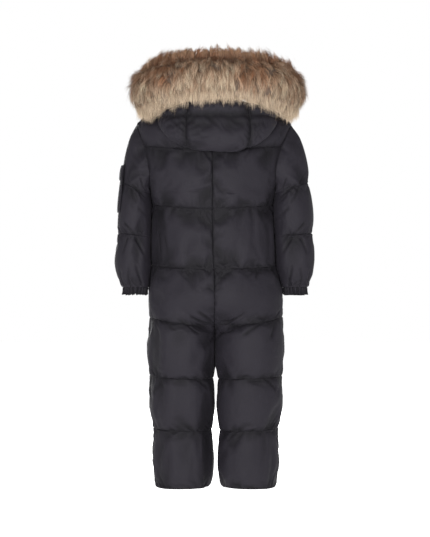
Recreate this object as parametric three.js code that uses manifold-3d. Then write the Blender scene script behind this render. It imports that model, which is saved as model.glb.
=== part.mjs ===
// A toddler's quilted down snowsuit, filled out as if worn, with its hood down and a fur trim on it.
// Millimetres, +Z up. The front faces -Y and the wearer's left is +X. The origin is midway between
// the shoulders, at the height of the shoulder seams, where the wearer's shoulders carry the suit.
import * as THREE from "three";
import Module from "manifold-3d";

const SEAM_GAP = 0.3;

// The quilted wall: cloth, down and lining.
const WALL_AT_QUILTING = 3;
const PUFF = 5.5;
const WALL_AT_CROWN = WALL_AT_QUILTING + PUFF;

// Body sections over the puffed chambers. Above the armpit the half width runs on past the armhole.
const TORSO = [
  { level: 8, half: 56, back: 46, front: 50, shift: 2, bend: 2.1 },
  { level: 3, half: 82, back: 53, front: 57, shift: 2, bend: 2.1 },
  { level: -5, half: 112, back: 60, front: 64, shift: 3, bend: 2.1 },
  { level: -15, half: 138, back: 67, front: 70, shift: 3, bend: 2.2 },
  { level: -30, half: 155, back: 75, front: 77, shift: 3, bend: 2.3 },
  { level: -50, half: 156, back: 83, front: 84, shift: 4, bend: 2.4 },
  { level: -75, half: 152, back: 89, front: 89, shift: 5, bend: 2.4 },
  { level: -100, half: 148, back: 92, front: 92, shift: 6, bend: 2.4 },
  { level: -130, half: 140, back: 94, front: 94, shift: 6, bend: 2.4 },
  { level: -150, half: 131, back: 94, front: 95, shift: 6, bend: 2.4 },
  { level: -165, half: 124, back: 94, front: 96, shift: 6, bend: 2.4 },
  { level: -230, half: 122, back: 92, front: 98, shift: 6, bend: 2.4 },
  { level: -300, half: 124, back: 95, front: 100, shift: 4, bend: 2.4 },
  { level: -340, half: 129, back: 99, front: 99, shift: 1, bend: 2.4 },
  { level: -380, half: 133, back: 101, front: 97, shift: -1, bend: 2.4 },
  { level: -420, half: 135.5, back: 98, front: 94, shift: -1, bend: 2.4 },
  { level: -470, half: 136, back: 94, front: 91, shift: -0.5, bend: 2.4 },
];
const LEG = [
  { level: -340, outer: 128, inner: 0.5, back: 92, front: 88, bend: 2.3 },
  { level: -400, outer: 135, inner: 0.5, back: 93, front: 88, bend: 2.3 },
  { level: -455, outer: 136, inner: 0.5, back: 91, front: 87, bend: 2.3 },
  { level: -480, outer: 136, inner: 0.5, back: 88, front: 85, bend: 2.3 },
  { level: -505, outer: 135, inner: 1, back: 85, front: 82, bend: 2.3 },
  { level: -530, outer: 135, inner: 0.5, back: 82, front: 79, bend: 2.3 },
  { level: -585, outer: 132, inner: 1.5, back: 77, front: 74, bend: 2.3 },
  { level: -620, outer: 129, inner: 3, back: 73, front: 71, bend: 2.3 },
  { level: -650, outer: 127, inner: 3.5, back: 71, front: 69, bend: 2.3 },
  { level: -700, outer: 126, inner: 3.5, back: 69, front: 67, bend: 2.3 },
  { level: -740, outer: 124, inner: 5, back: 67, front: 65, bend: 2.3 },
  { level: -752, outer: 123, inner: 7, back: 65, front: 63, bend: 2.3 },
];
// The armhole seam: how far from the middle it runs, from the shoulder tip down to the armpit.
const SHOULDER_TIP = -30;
const ARMPIT = -165;
const ARMHOLE = [
  { level: SHOULDER_TIP, out: 155 },
  { level: -50, out: 148 },
  { level: -75, out: 139 },
  { level: -100, out: 131 },
  { level: -125, out: 126 },
  { level: -150, out: 124 },
  { level: ARMPIT, out: 124 },
];
const ARMHOLE_STEPS = 10;
// Where the torso's section turns into the two legs' sections, and how low the neck dips.
const CROTCH = { top: -360, bottom: -455 };
// The legs lie against each other down to here.
const LEGS_TOUCH = -506;
const NECK_DIP = { front: 30, back: 4, endsAt: -110 };

// Quilting lines round the body, at the side seam and at the centre seam or inseam.
const QUILT_LINES = [
  { side: 8, centre: 8 },
  { side: -76.6, centre: -83 },
  { side: -191, centre: -200 },
  { side: -311, centre: -317 },
  { side: -413, centre: -431 },
  { side: -530, centre: -536 },
  { side: -634, centre: -638 },
  { side: -752, centre: -751 },
];
// Rows of points in a chamber, from its upper line at 0. The rows beside the armhole are its own.
const CHAMBER_ROWS = [0, 0.08, 0.25, 0.5, 0.75, 0.92];
const SHOULDER_ROWS = [8, 1, -8, -18];
const BELOW_ARMPIT = -178;
const BODY_COLUMNS = 12;

// Sleeve rings from the first quilting line to the cuff. The tilt lifts a ring's outer edge.
const SLEEVE = [
  { level: -158, outer: 187, back: 52, front: 51, tilt: 11, puff: 0.9 },
  { level: -205, outer: 193, back: 50, front: 50, tilt: 6, puff: 0.9 },
  { level: -250, outer: 195, back: 48, front: 48, tilt: 3, puff: 0.9 },
  { level: -300, outer: 197, back: 46, front: 46, tilt: 1, puff: 0.9 },
  { level: -330, outer: 195, back: 42, front: 42, tilt: 0, puff: 0.7 },
  { level: -345, outer: 190, back: 36, front: 36, tilt: 0, puff: 0.4 },
  { level: -354, outer: 185, back: 31, front: 31, tilt: 0, puff: 0.2 },
];
const SLEEVE_LINES = [-158, -250, -354];
const SLEEVE_SHIFT = 1;
const SLEEVE_BEND = 2.2;
const SLEEVE_CLEAR = 0.8;
const SLEEVE_COLUMNS = 20;
const CUFF = { length: 14, wall: 2.4, gathers: 18, gatherDepth: 1.5, flare: 1.5 };

// Soft troughs pressed into the quilting: the panel's face, where each runs and how deep it is.
// Across 0 is the side seam and 1 the centre seam or inseam.
const BODY_FOLDS = [
  { face: 1, from: { across: 0.88, level: -438 }, to: { across: 0.66, level: -408 }, deep: 4, wide: 12 },
  { face: 1, from: { across: 0.86, level: -462 }, to: { across: 0.6, level: -428 }, deep: 3, wide: 11 },
  { face: 1, from: { across: 0.42, level: -450 }, to: { across: 0.3, level: -408 }, deep: 3, wide: 11 },
  { face: 1, from: { across: 0.2, level: -560 }, to: { across: 0.34, level: -530 }, deep: 3, wide: 11 },
  { face: 1, from: { across: 0.03, level: -214 }, to: { across: 0.2, level: -188 }, deep: 3, wide: 11 },
  { face: -1, from: { across: 0.88, level: -440 }, to: { across: 0.62, level: -412 }, deep: 4, wide: 12 },
  { face: -1, from: { across: 0.4, level: -452 }, to: { across: 0.26, level: -412 }, deep: 3, wide: 11 },
  { face: -1, from: { across: 0.25, level: -562 }, to: { across: 0.4, level: -528 }, deep: 3, wide: 11 },
];
// On a sleeve, turn 0 is outwards, 90 the back and 180 the side against the body.
const SLEEVE_FOLDS = [
  { from: { turn: 158, along: 1.22 }, to: { turn: 84, along: 0.95 }, deep: 4, wide: 11 },
  { from: { turn: 165, along: 1.4 }, to: { turn: 112, along: 1.13 }, deep: 3.5, wide: 10 },
  { from: { turn: 205, along: 1.25 }, to: { turn: 275, along: 0.96 }, deep: 4, wide: 11 },
  { from: { turn: 110, along: 2.2 }, to: { turn: 140, along: 1.97 }, deep: 2.5, wide: 10 },
];

const COLLAR = { height: 33, lean: 3, inside: 5.5, columns: 26 };
const ZIP = { half: 4, thick: 2.2, bottom: -402, clear: 0.6, rows: 30 };
const SLIDER = { width: 9, length: 12, thick: 2.5, below: 6, cheek: 1, pin: 0.5 };
const PULL = {
  width: 6.4,
  head: 4,
  length: 19,
  thick: 1.6,
  barrel: 1.35,
  bore: 0.62,
  standsOff: 2.4,
  above: 1,
};

// The sleeve pocket on the wearer's left sleeve, centred on its outer side.
const POCKET = {
  from: 38,
  to: -36,
  top: -120,
  bottom: -205,
  thick: 2.4,
  lift: SEAM_GAP * 2,
  columns: 7,
  rows: 6,
};
const FLAP = { from: 40, to: -38, top: -113, bottom: -141, thick: 2.2, lift: 3.4, columns: 7, rows: 4 };

// The fur trim, as the envelope of its hair: the middle of the tube from the centre back to one
// front end, with how far the hair reaches sideways and up and down.
const FUR = [
  { run: 0, out: 0, back: 113, up: 60, wide: 47, high: 50 },
  { run: 1, out: 50, back: 109, up: 58, wide: 47, high: 50 },
  { run: 2, out: 92, back: 89, up: 51, wide: 49, high: 54 },
  { run: 3, out: 122, back: 50, up: 40, wide: 51, high: 56 },
  { run: 4, out: 127, back: 4, up: 36, wide: 50, high: 53 },
  { run: 5, out: 115, back: -46, up: 31, wide: 46, high: 48 },
  { run: 6, out: 86, back: -88, up: 12, wide: 40, high: 40 },
  { run: 7, out: 54, back: -112, up: -10, wide: 33, high: 34 },
];
// How far off the body the fur rests: on the hood's cloth round the back, and on the body in front.
const FUR_REST = { onHood: 15.5, onBody: 1, from: 3.2, to: 4.2 };
const FUR_SHIFT = -4.5;
const FUR_STEPS = 34;
const FUR_SIDES = 16;
const FUR_LOCK = 2.5;

// The hood hangs in a pouch from the neck seam to the fur, as curves across its cloth. Turn is the
// place on the neck seam, where 90 is the centre back. The drops and swells are of a curve's pull
// points. The cloth ends a gap below the fur, and its sides end under the fur at the shoulders.
const HOOD = { fromCollar: 6.5, aboveSeam: 6, end: 2.5 };
const HOOD_WALL = [
  { run: 0, wall: 8, swell: 2 },
  { run: 1.4, wall: 8, swell: 2 },
  { run: 2.5, wall: 4, swell: 0.5 },
];
const HOOD_POUCH = [
  { run: 0, turn: 90, neckDrop: 130, edgeDrop: 120, neckSwell: 40, edgeSwell: 34, spread: 0, gap: 3.5 },
  { run: 1, turn: 62, neckDrop: 122, edgeDrop: 112, neckSwell: 38, edgeSwell: 32, spread: 12, gap: 3.5 },
  { run: 2, turn: 36, neckDrop: 74, edgeDrop: 66, neckSwell: 36, edgeSwell: 26, spread: 14, gap: 4 },
  { run: 3, turn: 14, neckDrop: 16, edgeDrop: 14, neckSwell: 24, edgeSwell: -4, spread: 2, gap: 5 },
];
const HOOD_PANEL_EDGE = 1.12;
const HOOD_ROWS = [0, 0.12, 0.24, 0.36, 0.46, 0.54, 0.62, 0.72, 0.82, 0.86, 0.92, 0.97, 1];

const CLOTH = new THREE.MeshStandardMaterial({ color: 0x39373e, roughness: 0.62, metalness: 0 });
const CUFF_CLOTH = new THREE.MeshStandardMaterial({ color: 0x2e2c32, roughness: 0.75, metalness: 0 });
const FUR_HAIR = new THREE.MeshStandardMaterial({ color: 0x94806a, roughness: 0.9, metalness: 0 });
const ZIP_BLACK = new THREE.MeshStandardMaterial({ color: 0x18181b, roughness: 0.5, metalness: 0 });
const ZIP_METAL = new THREE.MeshStandardMaterial({ color: 0x2a2a2d, roughness: 0.35, metalness: 0.8 });

const lerp = THREE.MathUtils.lerp;
const clamp = THREE.MathUtils.clamp;
const radians = THREE.MathUtils.degToRad;

function smoothStep(from, to, at) {
  return THREE.MathUtils.smoothstep(at, Math.min(from, to), Math.max(from, to));
}

// A power that keeps the sign, for rounded squares as sections.
function roundedPower(value, bend) {
  return Math.sign(value) * Math.abs(value) ** (2 / bend);
}

// One row of a table at any place between its rows, as smooth curves of every column.
function readTable(rows, key, at) {
  const [first, last] = [rows[0][key], rows.at(-1)[key]];
  const place = clamp(at, Math.min(first, last), Math.max(first, last));
  const isPast = (row) => (last > first ? place > row[key] : place < row[key]);
  let low = 0;
  while (low < rows.length - 2 && isPast(rows[low + 1])) low += 1;
  const step = rows[low + 1][key] - rows[low][key];
  const share = (place - rows[low][key]) / step;
  const found = {};
  for (const column of Object.keys(rows[0])) {
    const slopeAt = (index) => {
      const before = rows[Math.max(index - 1, 0)];
      const after = rows[Math.min(index + 1, rows.length - 1)];
      return ((after[column] - before[column]) / (after[key] - before[key])) * step;
    };
    const [a, b] = [rows[low][column], rows[low + 1][column]];
    const cubed = share ** 3;
    const squared = share ** 2;
    found[column] =
      a * (2 * cubed - 3 * squared + 1) +
      b * (3 * squared - 2 * cubed) +
      slopeAt(low) * (cubed - 2 * squared + share) +
      slopeAt(low + 1) * (cubed - squared);
  }
  return found;
}

// How full a quilted chamber is, from its lower seam at 0 to its upper seam at 1. Down settles low.
function pillow(share) {
  const inside = clamp(share, 0, 1) ** 0.8;
  return Math.max(Math.sin(Math.PI * inside), 0) ** 0.55;
}

// How much of the puff is left beside a seam.
function besideSeam(distance, width, left) {
  return 1 - (1 - left) * Math.exp(-((distance / width) ** 2));
}

// A trough's depth at a point, on a flat map whose axes are in millimetres.
function troughAt(x, y, fold, start, end) {
  const run = { x: end.x - start.x, y: end.y - start.y };
  const length = run.x ** 2 + run.y ** 2;
  const along = clamp(((x - start.x) * run.x + (y - start.y) * run.y) / length, 0, 1);
  const away = Math.hypot(x - start.x - run.x * along, y - start.y - run.y * along);
  return fold.deep * Math.exp(-((away / (fold.wide / 2)) ** 2)) * (1 - 0.5 * along);
}

function armholeLevel(turn) {
  return lerp(ARMPIT, SHOULDER_TIP, (1 + Math.cos(turn)) / 2);
}

// The angle round the torso's section where a panel starts: the side seam, or the armhole above it.
function startAngle(level) {
  if (level <= ARMPIT || level >= SHOULDER_TIP) return 0;
  const torso = readTable(TORSO, "level", level);
  const share = Math.min(readTable(ARMHOLE, "level", level).out / torso.half, 1);
  return Math.acos(share ** (torso.bend / 2));
}

function crotchShare(level) {
  const down = clamp((CROTCH.top - level) / (CROTCH.top - CROTCH.bottom), 0, 1);
  return 1 - Math.sqrt(1 - down ** 2);
}

// A point on the puffed body. Side is 1 for the wearer's left and face is 1 for the back. Round 0 is
// the side seam and 1 the centre.
function bodySurface(side, face, round, level) {
  const torso = readTable(TORSO, "level", level);
  const leg = readTable(LEG, "level", level);
  const turn = (Math.PI / 2) * round;
  const torsoDeep = face > 0 ? torso.back : torso.front;
  const legDeep = face > 0 ? leg.back : leg.front;
  const legHalf = (leg.outer - leg.inner) / 2;
  const torsoX = torso.half * roundedPower(Math.cos(turn), torso.bend);
  const torsoY = torsoDeep * roundedPower(Math.sin(turn), torso.bend);
  const legX = leg.inner + legHalf + legHalf * roundedPower(Math.cos(2 * turn), leg.bend);
  const legY = legDeep * roundedPower(Math.sin(2 * turn), leg.bend);
  const legs = crotchShare(level);
  return new THREE.Vector3(
    side * lerp(torsoX, legX, legs) + torso.shift,
    face * lerp(torsoY, legY, legs),
    level - neckDip(face, level) * Math.sin(turn) ** 2,
  );
}

// How far the top edge dips at the centre, which dies away down the body.
function neckDip(face, level) {
  return (face > 0 ? NECK_DIP.back : NECK_DIP.front) * smoothStep(NECK_DIP.endsAt, TORSO[0].level, level);
}

// The place round the body of a place across a panel, which starts at the armhole where there is one.
function roundAt(across, level) {
  return lerp(startAngle(level) / (Math.PI / 2), 1, across);
}

function bodyCrown(side, face, across, level) {
  return bodySurface(side, face, roundAt(across, level), level);
}

function bodyNormal(side, face, across, level) {
  const step = 1e-3;
  const place = roundAt(across, level);
  const surface = (at, height) => bodySurface(side, face, at, height);
  const round = surface(place + step, level).sub(surface(place - step, level));
  const up = surface(place, level + 1).sub(surface(place, level - 1));
  return round.cross(up).multiplyScalar(side * face).normalize();
}

// At the armhole the wall turns to meet the sleeve's, which hangs down from the armpit.
function wallNormal(side, face, across, level) {
  const normal = bodyNormal(side, face, across, level);
  if (level <= ARMPIT - 12 || level > SHOULDER_TIP || across > 0.2) return normal;
  const hanging = (1 - smoothStep(ARMPIT, -105, level)) * smoothStep(ARMPIT - 12, ARMPIT, level);
  const share = hanging * (1 - smoothStep(0, 0.2, across));
  return normal.lerp(new THREE.Vector3(0, 0, -1), share).normalize();
}

function quiltLevel(line, across) {
  return lerp(QUILT_LINES[line].side, QUILT_LINES[line].centre, smoothStep(0, 1, across));
}

// How full the quilting is at a point of a body panel, from 0 on a quilting line to 1.
function bodyFullness(face, across, level, chamber, share) {
  const aboveCrotch = level > CROTCH.bottom;
  const aboveArmpit = level > ARMPIT && level < SHOULDER_TIP;
  const half = readTable(TORSO, "level", level).half;
  const centreLeft = aboveCrotch ? lerp(0.3, 0.9, crotchShare(level)) : 0.9;
  const centre = besideSeam((1 - across) * half * 1.3, 13, centreLeft);
  const sideLeft = aboveArmpit ? 0.45 : 0.8;
  const seam = besideSeam(across * half * 1.3, 12, sideLeft);
  const fill = chamber === 0 ? pillow(Math.min(share, 0.42)) : pillow(share);
  return fill * centre * seam;
}

// How full the quilting is down the body's side, where the sleeve lies against it.
function sideFullness(face, level) {
  let chamber = 0;
  while (chamber < QUILT_LINES.length - 2 && level < QUILT_LINES[chamber + 1].side) chamber += 1;
  const [top, bottom] = [QUILT_LINES[chamber].side, QUILT_LINES[chamber + 1].side];
  return bodyFullness(face, 0, level, chamber, (level - bottom) / (top - bottom));
}

function bodyFolds(face, across, level) {
  const half = readTable(TORSO, "level", level).half * 1.45;
  let deep = 0;
  for (const fold of BODY_FOLDS) {
    if (fold.face !== face) continue;
    const start = { x: fold.from.across * half, y: fold.from.level };
    const end = { x: fold.to.across * half, y: fold.to.level };
    deep = Math.max(deep, troughAt(across * half, level, fold, start, end));
  }
  return deep;
}

// Front panels stop short of the zip.
function zipGap(face, across, level) {
  if (face > 0) return 0;
  return (ZIP.half + ZIP.clear) * smoothStep(ZIP.bottom - 34, ZIP.bottom - 14, level) * across ** 3;
}

function bodyPoint(side, face, across, level, chamber, share, inner) {
  const point = bodyCrown(side, face, across, level);
  const normal = wallNormal(side, face, across, level);
  const fullness = bodyFullness(face, across, level, chamber, share);
  const folds = bodyFolds(face, across, level);
  const outward = inner ? -WALL_AT_CROWN : Math.max(PUFF * (fullness - 1) - folds, -PUFF);
  point.addScaledVector(normal, outward);
  if (level < CROTCH.top) {
    const keepOff = inner ? WALL_AT_QUILTING : 0.2;
    const closed = inner ? 0 : smoothStep(0.84, 1, across) * smoothStep(LEGS_TOUCH - 16, LEGS_TOUCH, level);
    point.x = side * lerp(Math.max(side * point.x, keepOff), keepOff, closed);
  }
  point.x += side * (SEAM_GAP / 2 + zipGap(face, across, level));
  point.y += (face * SEAM_GAP) / 2;
  return point;
}

// Every row of points down a body panel: its chamber, and how far down the chamber it lies.
function bodyRows() {
  const armhole = (from, to) =>
    Array.from({ length: to - from + 1 }, (_, step) =>
      armholeLevel((Math.PI * (from + step)) / ARMHOLE_STEPS),
    );
  const atSide = [
    [...SHOULDER_ROWS, ...armhole(0, 3)],
    [...armhole(4, ARMHOLE_STEPS), BELOW_ARMPIT],
  ];
  const rows = [];
  for (let chamber = 0; chamber < QUILT_LINES.length - 1; chamber += 1) {
    const [top, bottom] = [QUILT_LINES[chamber].side, QUILT_LINES[chamber + 1].side];
    const downs = atSide[chamber]?.map((level) => (top - level) / (top - bottom)) ?? CHAMBER_ROWS;
    for (const down of downs) rows.push({ chamber, down });
  }
  rows.push({ chamber: QUILT_LINES.length - 2, down: 1 });
  return rows;
}

function bodyGrid(side, face, inner) {
  const rows = inner ? bodyRows().filter((_, index) => index % 2 === 0) : bodyRows();
  const columns = inner ? BODY_COLUMNS / 2 : BODY_COLUMNS;
  return rows.map(({ chamber, down }) =>
    Array.from({ length: columns + 1 }, (_, column) => {
      const across = column / columns;
      const level = lerp(quiltLevel(chamber, across), quiltLevel(chamber + 1, across), down);
      return bodyPoint(side, face, across, level, chamber, 1 - down, inner);
    }),
  );
}

// The seam round the armhole. Turn 0 is the shoulder tip, 90 the back and 180 the armpit.
function armholeAt(side, turn) {
  const level = armholeLevel(turn);
  const face = Math.sin(turn) >= 0 ? 1 : -1;
  return {
    point: bodyCrown(side, face, 0, level),
    normal: wallNormal(side, face, 0, level),
    fullness: sideFullness(face, level),
  };
}

// A level ring of the sleeve below the cap. Its inner edge stays just clear of the body.
function sleeveRing(side, turn, level) {
  const ring = readTable(SLEEVE, "level", level);
  const torso = readTable(TORSO, "level", level + ring.tilt * Math.cos(turn));
  const inner = torso.half + side * torso.shift + SLEEVE_CLEAR;
  const half = (ring.outer + side * SLEEVE_SHIFT - inner) / 2;
  const deep = Math.sin(turn) >= 0 ? ring.back : ring.front;
  return new THREE.Vector3(
    side * (inner + half + half * roundedPower(Math.cos(turn), SLEEVE_BEND)),
    deep * roundedPower(Math.sin(turn), SLEEVE_BEND),
    level + ring.tilt * Math.cos(turn),
  );
}

// A point on the puffed sleeve. Along 0 is the armhole, 1 and 2 are quilting lines, 3 is the cuff.
function sleeveCrown(side, turn, along) {
  if (along >= 1) {
    const line = Math.min(Math.floor(along) - 1, SLEEVE_LINES.length - 2);
    return sleeveRing(side, turn, lerp(SLEEVE_LINES[line], SLEEVE_LINES[line + 1], along - 1 - line));
  }
  const start = armholeAt(side, turn).point;
  const end = sleeveRing(side, turn, SLEEVE_LINES[0]);
  const pull = start.distanceTo(end);
  const leave = new THREE.Vector3(side * 0.52, 0, -0.85).multiplyScalar(pull * 0.9);
  const arrive = new THREE.Vector3(side * 0.1, 0, -1).multiplyScalar(pull * 0.95);
  const [cubed, squared] = [along ** 3, along ** 2];
  return start
    .multiplyScalar(2 * cubed - 3 * squared + 1)
    .addScaledVector(end, 3 * squared - 2 * cubed)
    .addScaledVector(leave, cubed - 2 * squared + along)
    .addScaledVector(arrive, cubed - squared);
}

function sleeveNormal(side, turn, along) {
  const step = 0.01;
  const round = sleeveCrown(side, turn + step, along).sub(sleeveCrown(side, turn - step, along));
  const low = Math.min(along + step, SLEEVE_LINES.length);
  const down = sleeveCrown(side, turn, low).sub(sleeveCrown(side, turn, Math.max(along - step, 0)));
  const own = down.cross(round).multiplyScalar(side).normalize();
  if (along >= 0.4) return own;
  return armholeAt(side, turn).normal.lerp(own, smoothStep(0, 0.4, along)).normalize();
}

function sleeveFolds(turn, along) {
  const around = 46;
  const length = 98;
  let deep = 0;
  for (const fold of SLEEVE_FOLDS) {
    const start = { x: radians(fold.from.turn) * around, y: fold.from.along * length };
    const end = { x: radians(fold.to.turn) * around, y: fold.to.along * length };
    const round = turn < 0 ? turn + 2 * Math.PI : turn;
    deep = Math.max(deep, troughAt(round * around, along * length, fold, start, end));
  }
  return deep;
}

function sleevePoint(side, turn, along, inner) {
  const chamber = Math.min(Math.floor(along), 2);
  const share = 1 - (along - chamber);
  const point = sleeveCrown(side, turn, along);
  const puff = PUFF * (along > 1 ? readTable(SLEEVE, "level", point.z).puff : 1);
  const armhole = armholeAt(side, turn);
  const room = clamp(armhole.point.distanceTo(sleeveRing(side, turn, SLEEVE_LINES[0])) / 60, 0.1, 1);
  const cap = lerp(armhole.fullness, room * pillow(Math.min(share, 0.45)), smoothStep(0, 0.25, along));
  const fill = chamber === 0 ? cap : pillow(share);
  const folds = sleeveFolds(turn, along) * smoothStep(0, 0.3, along);
  const pressed = smoothStep(0.25, 0.9, -Math.cos(turn)) * smoothStep(0.9, 1.1, along);
  const face = Math.sin(turn) >= 0 ? 1 : -1;
  const intoBody = PUFF * (1 - sideFullness(face, point.z)) * (1 - 0.6 * Math.sin(turn) ** 2);
  const skin = lerp(Math.max(puff * (fill - 1) - folds, -PUFF), intoBody, pressed);
  const outward = inner ? -(WALL_AT_QUILTING + puff) : skin;
  point.addScaledVector(sleeveNormal(side, turn, along), outward);
  return point.add(new THREE.Vector3(side * 0.9, 0, -0.4).multiplyScalar(SEAM_GAP * 2));
}

function sleeveGrid(side, inner) {
  const alongs = [0, 0.08, 0.2, 0.36, 0.52, 0.68, 0.84, 0.95];
  for (const chamber of [1, 2]) alongs.push(...CHAMBER_ROWS.map((down) => chamber + down));
  alongs.push(3);
  const last = alongs.length - 1;
  const kept = inner ? alongs.filter((_, index) => index % 2 === 0 || index === last) : alongs;
  const columns = inner ? SLEEVE_COLUMNS / 2 : SLEEVE_COLUMNS;
  return kept.map((along) =>
    Array.from({ length: columns }, (_, column) =>
      sleevePoint(side, (2 * Math.PI * column) / columns, along, inner),
    ),
  );
}

// The elastic cuff, gathered all round, under the end of the sleeve.
function cuffGrid(side, inner) {
  const columns = CUFF.gathers * 3;
  const end = SLEEVE_LINES.at(-1);
  return [0, 0.5, 1].map((down) =>
    Array.from({ length: columns }, (_, column) => {
      const turn = (2 * Math.PI * column) / columns;
      const ring = sleeveRing(side, turn, end);
      const centre = sleeveRing(side, 0, end).add(sleeveRing(side, Math.PI, end)).multiplyScalar(0.5);
      const outward = ring.clone().sub(centre).normalize();
      const wave = Math.cos(CUFF.gathers * turn) * CUFF.gatherDepth * (0.4 + 0.6 * down);
      const waist = -1.2 * Math.sin(Math.PI * down) + CUFF.flare * down - 1;
      ring.addScaledVector(outward, inner ? waist - CUFF.wall : waist + wave);
      ring.z = end - SEAM_GAP - CUFF.length * down;
      const beside = (1 - Math.cos(turn)) / 2;
      ring.x += side * (SEAM_GAP * 1.5 + beside * (1.2 + 3.4 * down));
      return ring;
    }),
  );
}

// Triangles between two runs of points that start and end together, whatever their counts.
function stitch(triangles, first, second) {
  let [a, b] = [0, 0];
  while (a < first.length - 1 || b < second.length - 1) {
    const nextA = a < first.length - 1 ? (a + 0.5) / (first.length - 1) : 2;
    const nextB = b < second.length - 1 ? (b + 0.5) / (second.length - 1) : 2;
    if (nextA < nextB) {
      triangles.push(first[a + 1], first[a], second[b]);
      a += 1;
    } else {
      triangles.push(first[a], second[b], second[b + 1]);
      b += 1;
    }
  }
}

// A closed wall between an outer and an inner grid of points, which may be coarser. A tube's rows
// join up round it.
function clothWall(outer, inner, tube = false) {
  const points = [];
  const triangles = [];
  const number = (grid) =>
    grid.map((row) => {
      const numbers = row.map((point) => points.push(point.x, point.y, point.z) / 3 - 1);
      return tube ? [...numbers, numbers[0]] : numbers;
    });
  const [out, back] = [number(outer), number(inner)];
  const skin = (grid, turned) => {
    for (let row = 0; row < grid.length - 1; row += 1) {
      for (let column = 0; column < grid[0].length - 1; column += 1) {
        const [a, b] = [grid[row][column], grid[row][column + 1]];
        const [c, d] = [grid[row + 1][column + 1], grid[row + 1][column]];
        triangles.push(...(turned ? [a, c, b, a, d, c] : [a, b, c, a, c, d]));
      }
    }
  };
  skin(out, false);
  skin(back, true);
  stitch(triangles, out[0], back[0]);
  stitch(triangles, out.at(-1).toReversed(), back.at(-1).toReversed());
  if (!tube) {
    const side = (grid, index) => grid.map((row) => row.at(index));
    stitch(triangles, side(out, -1), side(back, -1));
    stitch(triangles, side(out, 0).toReversed(), side(back, 0).toReversed());
  }
  return solidFrom(points, triangles);
}

function solidFrom(points, triangles) {
  let volume = 0;
  const at = (index) => new THREE.Vector3(...points.slice(index * 3, index * 3 + 3));
  for (let index = 0; index < triangles.length; index += 3) {
    const [a, b, c] = [0, 1, 2].map((corner) => at(triangles[index + corner]));
    volume += a.dot(b.cross(c)) / 6;
  }
  const facing = volume < 0 ? triangles.toReversed() : triangles;
  const geometry = new THREE.BufferGeometry();
  geometry.setAttribute("position", new THREE.Float32BufferAttribute(points, 3));
  geometry.setIndex(facing);
  geometry.computeVertexNormals();
  return geometry;
}

// The neck seam on the body's top edge. Turn 90 is the back and -90 the front.
function neckline(turn) {
  const face = Math.sin(turn) >= 0 ? 1 : -1;
  const side = Math.cos(turn) >= 0 ? 1 : -1;
  const across = Math.abs(Math.asin(clamp(Math.sin(turn), -1, 1))) / (Math.PI / 2);
  return bodyCrown(side, face, across, TORSO[0].level);
}

function collarPoint(turn, up, inner) {
  const seam = neckline(turn);
  const centre = new THREE.Vector3(readTable(TORSO, "level", TORSO[0].level).shift, 0, seam.z);
  const outward = seam.clone().sub(centre).setZ(0).normalize();
  const bulge = 2.5 * pillow(1 - up) - COLLAR.lean * up;
  const point = seam.addScaledVector(outward, inner ? -COLLAR.inside - COLLAR.lean * up : bulge - 1);
  point.z += SEAM_GAP + COLLAR.height * up;
  return point;
}

function collarGrid(inner) {
  const columns = inner ? COLLAR.columns / 2 : COLLAR.columns;
  return (inner ? [0, 1] : [0, 0.12, 0.5, 0.88, 1]).map((up) =>
    Array.from({ length: columns + 1 }, (_, column) => {
      const opening = Math.asin((ZIP.half + ZIP.clear) / TORSO[0].half);
      const turn = lerp(-Math.PI / 2 + opening, (3 * Math.PI) / 2 - opening, column / columns);
      return collarPoint(turn, up, inner);
    }),
  );
}

// The middle of the front, from the foot of the zip up over the collar.
function zipPath() {
  const path = [];
  for (let row = 0; row <= ZIP.rows; row += 1) {
    const level = lerp(ZIP.bottom, TORSO[0].level - 1.5, row / ZIP.rows);
    const point = bodyCrown(1, -1, 1, level);
    const normal = bodyNormal(1, -1, 1, level);
    path.push({ point: point.addScaledVector(normal, -PUFF * 0.75), normal });
  }
  for (const up of [0.1, 0.4, 0.7, 1]) {
    const point = collarPoint(-Math.PI / 2, up, false);
    path.push({ point, normal: new THREE.Vector3(0, -1, 0) });
  }
  return path;
}

function zipGrid(inner) {
  return zipPath().map(({ point, normal }) =>
    [-1, 1].map((side) => {
      const edge = point.clone().addScaledVector(normal, inner ? -ZIP.thick : 0);
      edge.x += side * ZIP.half;
      return edge;
    }),
  );
}

const wasm = await Module();
wasm.setup();

// Joins closed solids into one, and cuts others out of it.
function joined(solids, cuts = []) {
  const [parts, holes] = [solids, cuts].map((group) =>
    group.map((solid) => {
      const loose = solid.index ? solid.toNonIndexed() : solid;
      const vertProperties = new Float32Array(loose.getAttribute("position").array);
      const triVerts = Uint32Array.from({ length: vertProperties.length / 3 }, (_, index) => index);
      const mesh = new wasm.Mesh({ numProp: 3, vertProperties, triVerts });
      mesh.merge();
      return new wasm.Manifold(mesh);
    }),
  );
  const union = wasm.Manifold.union(parts);
  const whole = (holes.length ? union.subtract(wasm.Manifold.union(holes)) : union).getMesh();
  const geometry = new THREE.BufferGeometry();
  geometry.setAttribute("position", new THREE.Float32BufferAttribute(whole.vertProperties, 3));
  geometry.setIndex(Array.from(whole.triVerts));
  return geometry;
}

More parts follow.
